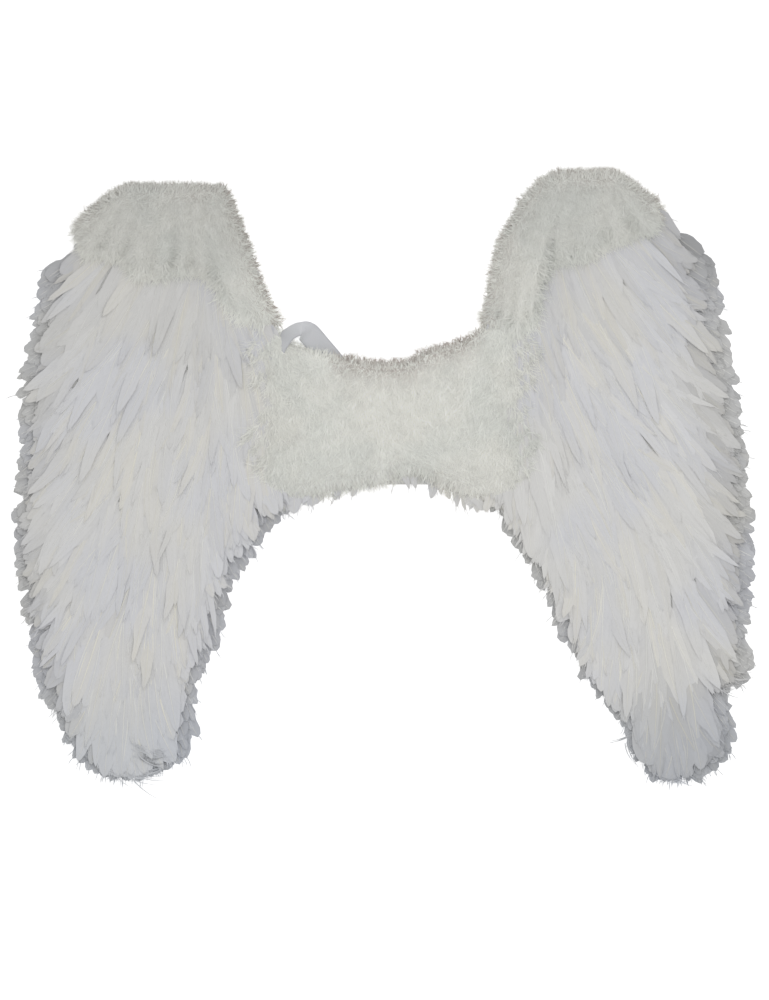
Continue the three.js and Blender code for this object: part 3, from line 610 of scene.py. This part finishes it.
frontLook = {
    "layers": 3, "spacing": 8.0, "scatter": 14, "startShift": -8,
    "length": 128, "least": 58, "rimLength": 0.75, "width": 19, "tipWidth": 1.5,
    "underFur": 62, "underTrim": 26, "underBand": 12, "overParting": 6, "aside": 0.1, "stray": 8,
    "bend": 18,
    "pointed": (1.2, 2.3), "notch": 0.35, "curl": (-2.0, -0.6), "lifted": 0.04, "roll": 0.025,
    "toneSpread": 0.018, "plain": 0.9, "lift": 7.0, "slope": 0.02, "loose": 3, "frayed": 5, "seed": 11,
    "belowTop": 28, "bandRise": 6, "drawnUnder": 20, "tipInside": 0.975,
    "frayedFrom": 0.94, "wideFrom": (0.75, 0.98),
    # painted shade on the rims, the tips and near the cap, by the wing's side, and where it starts and ends
    "rimShade": {-1: 0.15, 1: 0.24}, "rimReach": 70, "rimFrom": (0.6, 1.0),
    "tipShade": {-1: 0.03, 1: 0.26}, "tipShadeFrom": (0.85, 1.02), "capShade": 0.06, "capReach": 60,
    # how far in from the outline the roots and, by the wing's side, the tips stay
    "rootGaps": {"outer": [(0, 16), (1, 4)], "inner": 4, "end": 20},
    "gaps": {-1: {"outer": [(0, 24), (0.25, 22), (0.42, 16), (1, 14)], "inner": 19, "end": 9},
             1: {"outer": [(0, 32), (0.22, 30), (0.36, 18), (0.8, 20), (1, 18)], "inner": 12, "end": 9}},
}
backLook = {
    "spacing": 5.0, "width": 19, "stray": 4, "bend": 9, "pointed": (3.0, 5.5), "notch": 0.45,
    "loose": 1, "frayed": 4, "curl": (-1.0, 0.6), "lifted": 0.25, "roll": 0.04,
    "toneSpread": 0.045, "plain": 1.35, "seed": 23,
    "tipShade": {-1: 0.1, 1: 0.16}, "shoulderShade": {-1: 0.12, 1: 0.3},
    "layers": [(0, 1.0, 70), (9, 2.4, 70), (19, 3.8, 66)],  # how far in the tips lie, height, length
}
backingLook = {"inset": 34, "topShare": 0.6, "narrowing": 0.3, "lap": 16,
               "padding": 6.0, "padRound": 30, "padStart": 30, "rings": 40, "acrossSteps": 12}


def makeFrontRows(wing, word, paint):
    for row in range(len(wing["rows"])):
        rng = np.random.default_rng(frontLook["seed"] + 10 * row + wing["side"])
        feathers, level = frontFeathers(wing, row, frontLook, rng)

        def heightAt(x, y, v):
            # seat + slope * (level - the feather's own root level) + lift
            past = levelAt(wing, x, y) - level[:, None, None]
            return seatAt(x) + frontLook["slope"] * np.maximum(past, -10) + frontLook["lift"]

        name = f"{word}Feathers{row + 1}"
        node = f"{word}_feather_row_{row + 1}"
        featherPiece(name, feathers, heightAt, paint, [node], rng)


def outlineStops(wing, spacing):
    # down the inner edge from the yoke's lower corner, round the bottom, and up the outer edge to the cap
    top = wing["cap"] * wing["height"] * 1.05
    corner = wing["top"] - band["bottom"] + backingLook["inset"] - 16
    inner = np.arange(corner, wing["height"], 1.0)
    bottom = np.linspace(-1, 1, 60)
    outer = np.arange(wing["height"], top, -1.0)
    down = np.concatenate([inner, np.full(60, float(wing["height"])), outer])
    n = np.concatenate([np.full(len(inner), -1.0), bottom, np.full(len(outer), 1.0)])
    x, y = spotOn(wing, down, n)
    run = lengthAlong(x, y)
    at = np.arange(spacing / 2, run[-1], spacing)
    return np.interp(at, run, x), np.interp(at, run, y), np.interp(at, run, n)


def makeBackFeathers(wing, word, paint):
    look = backLook
    rng = np.random.default_rng(look["seed"] + wing["side"])
    sets = []
    heights = []
    for inset, height, length in look["layers"]:
        x, y, n = outlineStops(wing, look["spacing"])
        nearCap = smooth(1.7, 0.9, (wing["top"] - y) / (wing["cap"] * wing["height"]))
        heading = headingAt(wing, n, y) * mix(1, 0.85, nearCap)
        inwards = inset + rng.uniform(-2, 4, len(x))
        own = length * rng.uniform(0.85, 1.1, len(x)) * mix(1, 0.6, nearCap)
        rootX = x - np.sin(heading) * (own + inwards)
        rootY = y + np.cos(heading) * (own + inwards)
        made = feathersLike(look, rootX, rootY, heading, own, rng)
        made["tone"] = made["tone"] * (1 - look["shoulderShade"][wing["side"]] * nearCap)
        sets.append(made)
        heights.append(np.full(len(x), height) + rng.uniform(-0.4, 0.4, len(x)))
    feathers = {key: np.concatenate([one[key] for one in sets]) for key in sets[0] if key != "notch"}
    feathers["notch"] = look["notch"]
    share = (wing["top"] - feathers["y"] + feathers["span"]) / wing["height"]
    feathers["loose"] = np.where(share > 0.95, look["frayed"], look["loose"])
    feathers["tone"] = feathers["tone"] * (1 - look["tipShade"][wing["side"]] * smooth(0.8, 1, share))
    height = np.concatenate(heights)
    heightAt = lambda x, y, v: height[:, None, None] + 0 * x
    name = f"{word}BackFeathers"
    featherPiece(name, feathers, heightAt, paint, [f"{word}_wing_base"], rng)


def makeBacking(wing, word, paint):
    # A flat plate with a low pad on its upper face, padding * sqrt(1 - (1 - edge / padRound)^2). Each ring
    # crosses the wing at one level, over the top and back underneath.
    look = backingLook
    inset, steps = look["inset"], look["acrossSteps"]
    down = np.linspace(inset * look["topShare"], wing["height"] - inset, look["rings"])
    outerX, y = spotOn(wing, down, 1 + 0 * down)
    innerX = spotOn(wing, down, -1 + 0 * down)[0]
    shrink = np.minimum(inset, np.abs(outerX - innerX) * look["narrowing"])
    limit = stack["panelHalf"] - look["lap"]
    outerX = outerX - wing["side"] * shrink
    innerX = wing["side"] * np.maximum(np.abs(innerX) + shrink, limit)
    share = np.concatenate([np.linspace(0, 1, steps), np.linspace(1, 0, steps)])[None, :]
    x = mix(outerX[:, None], innerX[:, None], share)
    edge = np.minimum(np.minimum(share, 1 - share) * np.abs(outerX - innerX)[:, None],
                      np.minimum(down - down[0], down[-1] - down)[:, None])
    pad = look["padding"] * np.sqrt(1 - (1 - np.clip(edge / look["padRound"], 0, 1)) ** 2)
    pad = pad * smooth(0, look["padStart"], np.abs(x) - stack["panelHalf"])
    z = np.where(np.arange(2 * steps) < steps, stack["base"] + pad, 0)
    points, faces = closedLoft(np.stack([x, y[:, None] + 0 * x, z], 2))
    addPiece(f"{word}Backing", points, [faces], paint, [f"{word}_wing_base"])


# fur: how the strands grow, and how high the pads stand
furLook = {
    "count": 34000, "width": 0.75, "length": 12, "loft": 0.1, "stray": 30, "curl": 0.4,
    "clump": 7, "pull": 0.3,
    "rimRound": 22, "footRound": 70, "footShare": 0.12,
    "overFeathers": 8.4, "sink": 0.6, "steepest": 0.9, "toneSpread": 0.03, "tuftTone": 0.025,
    "capCrown": 39, "trimCrown": 33, "bandCrown": 31, "sideCrown": 13, "inset": 6, "seed": 41,
}


def domeHeight(rimSide, rimTop, rimFoot, crown, seat, footRound):
    # a quarter circle from each rim up to the crown, all multiplied together
    quarter = lambda distance, radius: np.sqrt(1 - (1 - np.clip(distance / radius, 0, 1)) ** 2)
    sides = quarter(rimSide, furLook["rimRound"]) * quarter(rimTop, furLook["rimRound"])
    lower = mix(furLook["footShare"], 1, quarter(rimFoot, footRound))
    return seat + (crown - seat) * sides * lower


def strands(spotAt, groundAt, combAt, rng, look):
    # Tapered blades of three cross-sections. The path leaves its root along the heading, bends sideways
    # with t^2 and is drawn towards its tuft's middle with t^2. It keeps to the ground's height plus
    # loft * length * t * (2 - t), and falls no steeper than `steepest` where the pad drops away.
    count = look["count"]
    x, y = spotAt(*rng.random((2, count)))
    heading, length, wisp, tone = combAt(x, y, rng)
    cell = np.floor(np.stack([x, y]) / look["clump"] + rng.normal(0, 0.25, (2, count))).astype(int)
    tuft = rng.uniform(-1, 1, (4, 997))[:, (cell[0] * 73 + cell[1] * 179) % 997]
    stray = tuft[0] * look["stray"] * 0.6 + rng.normal(0, look["stray"] * 0.7, count)
    heading = heading + np.radians(stray)
    length = (length * (1 + 0.18 * tuft[1]) * rng.uniform(0.7, 1.2, count))[:, None]
    middle = ((cell + 0.5 + 0.3 * tuft[2:4]) * look["clump"])[:, :, None]
    steps = np.array([0, 0.55, 1.0])[None, :]
    side = length * rng.normal(0, look["curl"], count)[:, None] * steps ** 2
    run = length * steps
    pull = look["pull"] * steps ** 2
    sine, cosine = np.sin(heading)[:, None], np.cos(heading)[:, None]
    pathX = x[:, None] + run * sine - side * cosine + (middle[0] - x[:, None]) * pull
    pathY = y[:, None] - run * cosine - side * sine + (middle[1] - y[:, None]) * pull
    ground = groundAt(pathX, pathY)
    ground = np.maximum(ground, ground[:, :1] - look["steepest"] * run)
    loft = look["loft"] * rng.uniform(0.2, 1.6, count)[:, None] * length * steps * (2 - steps)
    pathZ = ground + loft - look["sink"] * (1 - steps)
    half = look["width"] / 2 * rng.uniform(0.7, 1.4, count)[:, None] * np.array([0.8, 1, 0.15])[None, :]
    roll = rng.normal(0, 0.15, count)[:, None]
    blade = bladesAlong(pathX, pathY, pathZ, heading[:, None], half, roll)
    spread = rng.normal(1, look["toneSpread"], count) + look["tuftTone"] * tuft[1]
    tone = look["tone"] * tone * np.clip(spread, 0.85, 1.12)
    shape = blade.shape[:3]
    values = {
        "tone": np.broadcast_to(tone[:, None, None], shape),
        "along": np.broadcast_to(steps[:, :, None], shape),
        "wisp": np.broadcast_to(wisp[:, None, None], shape),
    }
    return blade.reshape(-1, 3), gridFaces(3, 2, count), values


def furPiece(name, spotAt, heightAt, groundAt, combAt, paint, node, look):
    # the pile under the strands is one closed dome: each ring runs over it at one t and back along its foot
    t = np.linspace(0, 1, 36)[:, None]
    s = np.linspace(0, 1, 62)[None, :]
    x, y = spotAt(s + 0 * t, t + 0 * s)
    over = np.stack([x, y, heightAt(x, y)], 2)
    under = np.stack([x, y, seatAt(x)], 2)[:, ::-1]
    pile, pileFaces = closedLoft(np.concatenate([over, under], 1))
    points, faces, values = strands(spotAt, groundAt, combAt, np.random.default_rng(look["seed"]), look)
    # the pile is painted a little darker, with the painted root shade a strand has 0.6 along
    flat = {"tone": look["tone"] * 0.98, "along": 0.6, "wisp": 0.0}
    joined = {key: np.concatenate([np.full(len(pile), flat[key]), values[key].ravel()]) for key in flat}
    allPoints = np.concatenate([pile, points])
    addPiece(name, allPoints, [pileFaces, faces + len(pile)], paint, [node], joined)


def makeShoulderFur(wing, word, paint):
    look = {**furLook, "tone": wing["furTone"], "seed": furLook["seed"] + wing["side"]}
    outer, inner = 0.96, wing["furInner"]

    def footAt(n):
        # the level of the fur's lower edge, a little wavy
        return furFoot(wing, n) - 9 + 5 * np.sin(n * 11) + 3 * np.sin(n * 29 + 1)

    def spotAt(s, t):
        # s runs from the outer edge to the inner one, t from the wing's top line to the fur's lower edge
        n = mix(outer, -inner, s)
        return spotOn(wing, mix(look["inset"], footAt(n), t), n)

    def heightAt(x, y):
        n = lateral(wing, x, y)
        down = wing["top"] - y
        rimSide = halfWidth(wing, down, n) * (1 - np.where(n > 0, n / outer, -n / inner))
        crown = mix(look["capCrown"], look["trimCrown"], smooth(0.3, 0.65, -n))
        toFoot = footAt(n) - down
        return domeHeight(rimSide, down - look["inset"], toFoot, crown, seatAt(x), look["footRound"])

    def groundAt(x, y):
        # past its foot the fur lies on the feathers
        n = lateral(wing, x, y)
        onFeathers = (footAt(n) - wing["top"] + y < 12) & (n < 0.9) & (n > -0.85)
        return np.maximum(heightAt(x, y), np.where(onFeathers, seatAt(x) + look["overFeathers"], 0))

    def combAt(x, y, rng):
        n = lateral(wing, x, y)
        down = wing["top"] - y
        outwards = np.exp(-halfWidth(wing, down, n) * (0.94 - np.abs(n)) / 9.0)
        upwards = np.exp(-np.maximum(down - look["inset"], 0) / 8.0)
        atFoot = smooth(30, 0, footAt(n) - down)
        pick = rng.random((4, len(x)))
        heading = headingAt(wing, n, y) * 0.7
        edgeWay = np.where(n > 0, wing["side"], -wing["side"]) * math.pi / 2
        heading = np.where(pick[0] < outwards * 0.75, edgeWay * mix(0.4, 1.3, pick[2]), heading)
        heading = np.where(pick[1] < upwards * 0.75, mix(-1.2, 1.2, pick[2]) + math.pi, heading)
        rim = np.clip(np.maximum(outwards, upwards), 0, 1)
        length = look["length"] * mix(1.0, 0.55, rim) * mix(1, 1.5, atFoot)
        # painted shade: the fur is darker towards the wing's top and lighter further down, a little more at
        # its foot
        tone = onTable([(0, 0.98), (60, 1.02), (110, 1.1), (190, 1.16)], down) + 0.05 * atFoot
        tone = tone * mix(1, wing["trimTone"], smooth(0.4, 0.7, -n) * smooth(60, 110, down))
        return heading, length, 0.75 * rim * (pick[3] < 0.4), tone

    furPiece(f"{word}ShoulderFur", spotAt, heightAt, groundAt, combAt, paint, f"{word}_shoulder_fur", look)


# the yoke's furry outline: x and y of its top edge and of its lower edge
yokeTop = [(-138, 170), (-122, 165), (-112, 156), (-104, 149), (-96, 145), (-83, 141), (-50, 131),
           (-6, 126), (23, 126), (41, 136), (54, 142), (71, 146), (92, 153), (104, 161), (120, 168),
           (156, 170)]
yokeFoot = [(-134, -20), (-100, -20), (-70, -10), (-45, -6), (-2, 2), (16, 10), (38, 10),
            (63, -4), (80, -8), (104, -18), (156, -24)]


def makeCentreFur(paint):
    look = {**furLook, "count": 46000, "stray": 30, "tone": 1.19, "toneSpread": 0.05, "tuftTone": 0.05}
    look["seed"] = furLook["seed"] + 5
    left, right = -136, 154

    def edgesAt(x):
        return onTable(yokeTop, x), onTable(yokeFoot, x)

    def spotAt(s, t):
        # s runs from left to right between wavy sides, t from the top edge down to the lower one
        wave = 8 * np.sin(t * 14 + 2) + 5 * np.sin(t * 37)
        x = mix(left + wave, right - wave, s)
        return x, mix(*edgesAt(x), t)

    def heightAt(x, y):
        topEdge, footEdge = edgesAt(x)
        rimSide = np.minimum(x - left, right - x)
        soft = smooth(0, 75, rimSide + 9 * np.sin(y / 13))
        crown = mix(look["sideCrown"], look["bandCrown"], soft)
        z = domeHeight(rimSide, topEdge - y, y - footEdge, crown, seatAt(x), 26)
        ripple = np.sin(x / 9 + y / 40) * smooth(0, 25, np.minimum(topEdge - y, y - footEdge))
        return z + 1.2 * soft * ripple

    def groundAt(x, y):
        # at the two sides the fur lies on the feathers
        topEdge, footEdge = edgesAt(x)
        onFeathers = (np.minimum(x - left, right - x) < 40) & (y > footEdge + 12) & (y < topEdge - 12)
        level = seatAt(x) + look["overFeathers"] - 1 + 2.5 * np.sin(x / 2.3) * np.sin(y / 3.7 + x / 7)
        return np.maximum(heightAt(x, y), np.where(onFeathers, level, 0))

    def combAt(x, y, rng):
        topEdge, footEdge = edgesAt(x)
        upwards = np.exp(-(topEdge - y) / 7.0)
        below = np.exp(-(y - footEdge) / 16.0)
        side = np.exp(-np.maximum(np.minimum(x - left, right - x), 0) / 16.0)
        pick = rng.random((3, len(x)))
        heading = 0.25 * np.sin(x / 23) + 0.2 * np.sin(y / 31 + x / 57) + np.sign(x - 12) * side * 0.5
        heading = np.where(pick[0] < upwards * 0.8, math.pi + mix(-1.1, 1.1, pick[1]), heading)
        length = look["length"] * mix(1, 0.6, upwards) * mix(1, 1.2, below) * mix(1, 1.4, side)
        middle = smooth(-70, -40, x) * (1 - smooth(95, 115, x))
        wisp = upwards * middle * (pick[2] < 0.8) + 0.3 * below * (pick[2] < 0.35)
        return heading, length, np.clip(wisp, 0, 1), 1 - 0.08 * side

    furPiece("centreFur", spotAt, heightAt, groundAt, combAt, paint, "centre_fur", look)


# Frayed barbs at the wing tips, in bunches: middle x and y, spread in x and y, height, first heading and
# turn in degrees from straight down, length, width, tone, how many
tipBarbs = {
    "left": [(-266, -296, 12, 9, 11.5, 45, 75, 32, 1.3, 0.86, 26),
             (-264, -302, 6, 5, 12, 48, 60, 24, 1.1, 0.5, 5),
             (-290, -308, 14, 5, 9, 30, 75, 46, 1.2, 1.0, 30)],
    "right": [(270, -279, 2, 2, 5, -60, -25, 27, 0.9, 0.8, 4),
              (265, -290, 3, 3, 5, 10, 45, 26, 0.9, 0.8, 4),
              (304, -322, 14, 5, 7, 45, 60, 24, 1.1, 0.95, 18),
              (368, -218, 13, 13, 6, 50, 55, 24, 1.1, 0.92, 22)],
}


def makeTipBarbs(word, paint):
    # thin ribbons whose heading turns evenly from root to tip, so that each is an arc of a circle
    rng = np.random.default_rng(71)
    bunches = np.array(tipBarbs[word], float)
    each = np.repeat(bunches, bunches[:, -1].astype(int), 0)
    x, y, spreadX, spreadY, z, first, turn, length, width, tone, _ = each.T
    count = len(x)
    own = np.clip(rng.normal(0, 1, (6, count)), -1.4, 1.4)
    t = np.linspace(0, 1, 8)[None, :]
    theta = np.radians((first + 8 * own[0])[:, None] + (turn * (1 + 0.3 * own[1]))[:, None] * t)
    step = (length * (1 + 0.2 * own[2]))[:, None] / 7 * (t > 0)
    pathX = (x + spreadX * 0.6 * own[3])[:, None] + np.cumsum(np.sin(theta) * step, 1)
    pathY = (y + spreadY * 0.6 * own[4])[:, None] - np.cumsum(np.cos(theta) * step, 1)
    half = (width * (1 + 0.2 * own[2]))[:, None] / 2 * np.clip(1.3 - t * 1.2, 0.1, 1)
    blades = bladesAlong(pathX, pathY, (z + 0.6 * own[5])[:, None] - 1.5 * t, theta, half)
    spread = lambda value: np.broadcast_to(value, (count, 8, 2)).ravel()
    values = {"tone": spread(tone[:, None, None]), "cream": spread(0.0), "own": spread(0.5)}
    sheet = np.stack([spread(0.3), spread(t[:, :, None] * 0.4)], 1)
    nodes = [f"{word}_feather_row_6"]
    faces = [gridFaces(8, 2, count)]
    addPiece(f"{word}TipBarbs", blades.reshape(-1, 3), faces, paint, nodes, values, sheet)


# the short feathers below the yoke; tips is the line on which they end
shortLook = {
    **frontLook, "length": 44, "width": 17, "stray": 9, "curl": (-1.0, 1.0), "seed": 61, "notch": 0.5,
    "loose": 4, "runs": [(-126, -36, 6.5), (-30, 50, 13), (52, 150, 6.5)], "fan": 9, "lifts": (2.0, 7.0),
    "tips": [(-130, -34), (-100, -33), (-84, -30), (-68, -24), (-45, -18), (-2, -11), (38, -4),
             (56, -14), (72, -24), (90, -31), (104, -35), (150, -44)],
}


def makeShortFeathers(paint):
    look = shortLook
    rng = np.random.default_rng(look["seed"])
    x = np.concatenate([np.arange(*run) for run in look["runs"]])
    x = x + rng.uniform(-3, 3, len(x))
    tip = onTable(look["tips"], x) - rng.uniform(-5, 6, len(x))
    first, last = look["tips"][0][0], look["tips"][-1][0]
    heading = np.radians(mix(-look["fan"], look["fan"], (x - first) / (last - first)))
    length = look["length"] * rng.uniform(0.8, 1.2, len(x))
    feathers = feathersLike(look, x - np.sin(heading) * length, tip + np.cos(heading) * length,
                            heading, length, rng)
    lift = rng.uniform(*look["lifts"], len(x))
    heightAt = lambda px, py, v: seatAt(px) + lift[:, None, None]
    featherPiece("centreFeathers", feathers, heightAt, paint, ["centre_feather_row"], rng)


strapLook = {
    "width": 25, "thickness": 1.4, "start": 24.5, "across": 115.5, "bottom": 49, "steps": 120,
    # each loop's side, height, and 1 where it stands up over the yoke or 0 where it lies flat
    "loops": {"left": (-1, 112, 1), "right": (1, 86, 0)},
    # share of the loop's width, share of its height, lift in mm, tilt of the band in degrees
    "route": [(0, 0.088, 0, 0), (0.14, 0.5, 0, 0), (0.28, 0.71, 2, 0), (0.392, 0.847, 6, 0),
              (0.498, 0.973, 9, 4), (0.575, 1.02, 8, 52), (0.68, 0.975, 4, 54), (0.79, 0.86, 1, 40),
              (0.925, 0.62, 0, 0), (1.0, 0.379, 0, 0), (0.944, 0.156, 0, 0), (0.745, 0.02, 0, 0),
              (0.472, 0, 0, 0)],
}


def smoothPath(knots, steps):
    # Catmull-Rom: each span leaves and meets its knots along the line between their neighbours
    knots = np.array(knots, float)
    padded = np.concatenate([2 * knots[:1] - knots[1:2], knots, 2 * knots[-1:] - knots[-2:-1]])
    at = np.linspace(0, len(knots) - 1, steps)
    k = np.minimum(at.astype(int), len(knots) - 2)
    t = (at - k)[:, None]
    a, b, c, d = padded[k], padded[k + 1], padded[k + 2], padded[k + 3]
    bend = 2 * a - 5 * b + 4 * c - d
    twist = 3 * b - a - 3 * c + d
    return 0.5 * (2 * b + (c - a) * t + bend * t ** 2 + twist * t ** 3)


def makeStrap(word, paint):
    # a flat rounded profile carried along the route; the band tilts about its middle line
    look = strapLook
    side, height, raised = look["loops"][word]
    route = np.array(look["route"], float)
    knots = np.stack([side * (look["start"] + route[:, 0] * look["across"]),
                      look["bottom"] + route[:, 1] * height, route[:, 2] * raised, route[:, 3] * raised], 1)
    path = smoothPath(knots, look["steps"])
    tangent = np.gradient(path[:, :2], axis=0)
    tangent = tangent / np.hypot(*tangent.T)[:, None]
    places = np.linspace(0, len(knots) - 1, look["steps"])
    tilt = np.radians(np.interp(places, np.arange(len(knots)), knots[:, 3]))
    outwards = np.stack([-tangent[:, 1], tangent[:, 0]], 1) * -side
    across = np.concatenate([outwards * np.cos(tilt)[:, None], np.sin(tilt)[:, None]], 1)
    facing = np.concatenate([-outwards * np.sin(tilt)[:, None], np.cos(tilt)[:, None]], 1)
    profile = np.array([(-1, 0), (-0.97, 1), (-0.5, 1), (0, 1), (0.5, 1), (0.97, 1),
                        (1, 0), (0.97, -1), (0.5, -1), (0, -1), (-0.5, -1), (-0.97, -1)])
    low = stack["base"] - look["thickness"] / 2 + np.maximum(path[:, 2], 0)
    middle = np.stack([path[:, 0], path[:, 1], low + np.abs(np.sin(tilt)) * look["width"] / 2], 1)
    offAcross = profile[None, :, :1] * look["width"] / 2
    offFacing = profile[None, :, 1:] * look["thickness"] / 2
    rings = middle[:, None] + across[:, None] * offAcross + facing[:, None] * offFacing
    points, faces = closedLoft(rings)
    run = lengthAlong(path[:, 0], path[:, 1])
    sheet = np.stack(np.broadcast_arrays(profile[None, :, 0] * 0.5 + 0.5, run[:, None] / 100), 2)
    sheet = sheet.reshape(-1, 2)
    addPiece(f"{word}Strap", points, [faces], paint, [f"{word}_strap"], sheet=sheet)


print("materials")
featherMaterial = featherPaint("featherWhite", ((0.75, 0.755, 0.78), (0.785, 0.78, 0.765)))
# the back feathers get darker whites: painted shade for the layer lying under the front feathers
shadedBackMaterial = featherPaint("featherBackPaintedShade", ((0.59, 0.60, 0.63), (0.63, 0.63, 0.62)))
furMaterial = furPaint()
backingMaterial = backingPaint()
elasticMaterial = elasticPaint()

for wing, word in ((leftWing, "left"), (rightWing, "right")):
    print("wing", word)
    makeBacking(wing, word, backingMaterial)
    makeBackFeathers(wing, word, shadedBackMaterial)
    makeFrontRows(wing, word, featherMaterial)
    makeTipBarbs(word, featherMaterial)
    makeShoulderFur(wing, word, furMaterial)

print("yoke")
makeCentreFur(furMaterial)
makeShortFeathers(featherMaterial)
panel = bpy.data.objects["centre_panel"]
panel.data.materials.clear()
panel.data.materials.append(backingMaterial)

print("straps")
for word in strapLook["loops"]:
    makeStrap(word, elasticMaterial)

print("floor, lights and camera")
stage = {"floor": 8.0, "world": 0.60, "area": 11.0, "areaSize": 1.4, "areaPlace": (0.25, 0.5, 2.4),
         "areaAim": (0.0, -0.05, 0.0)}
floorMesh = bpy.data.meshes.new("floor")
half = stage["floor"] / 2
corners = [(-half, -half, 0), (half, -half, 0), (half, half, 0), (-half, half, 0)]
floorMesh.from_pydata(corners, [], [(0, 1, 2, 3)])
floorMesh.materials.append(floorPaint())
floor = bpy.data.objects.new("floor", floorMesh)
bpy.context.scene.collection.objects.link(floor)

world = bpy.data.worlds.new("studio")
world.use_nodes = True
world.node_tree.nodes["Background"].inputs[0].default_value = (1, 1, 1, 1)
world.node_tree.nodes["Background"].inputs[1].default_value = stage["world"]
bpy.context.scene.world = world

lamp = bpy.data.lights.new("softLight", "AREA")
lamp.shape = "DISK"
lamp.size = stage["areaSize"]
lamp.energy = stage["area"]
lampObject = bpy.data.objects.new("softLight", lamp)
lampObject.location = stage["areaPlace"]
aim = np.array(stage["areaAim"]) - np.array(stage["areaPlace"])
lampObject.rotation_euler = (math.atan2(math.hypot(aim[0], aim[1]), -aim[2]), 0,
                             math.atan2(aim[1], aim[0]) - math.pi / 2)
bpy.context.scene.collection.objects.link(lampObject)

# The camera looks straight down on the wings. One pixel of the 769 x 1000 frame is 1.09 mm.
shot = {"distance": 4.5, "frameHeight": 1.09, "sensor": 24.0, "aimY": -22.9, "level": 0.012}
camera = bpy.data.cameras.new("camera")
camera.sensor_fit = "VERTICAL"
camera.sensor_height = shot["sensor"]
camera.lens = shot["sensor"] * shot["distance"] / shot["frameHeight"]
cameraObject = bpy.data.objects.new("camera", camera)
aimY = (origin[1] + shot["aimY"]) / 1000
cameraObject.location = (origin[0] / 1000, aimY, shot["distance"] + shot["level"])
bpy.context.scene.collection.objects.link(cameraObject)
bpy.context.scene.camera = cameraObject
bpy.context.scene.view_settings.view_transform = "Standard"
bpy.context.scene.view_settings.look = "None"
bpy.context.scene.view_settings.exposure = 0.0
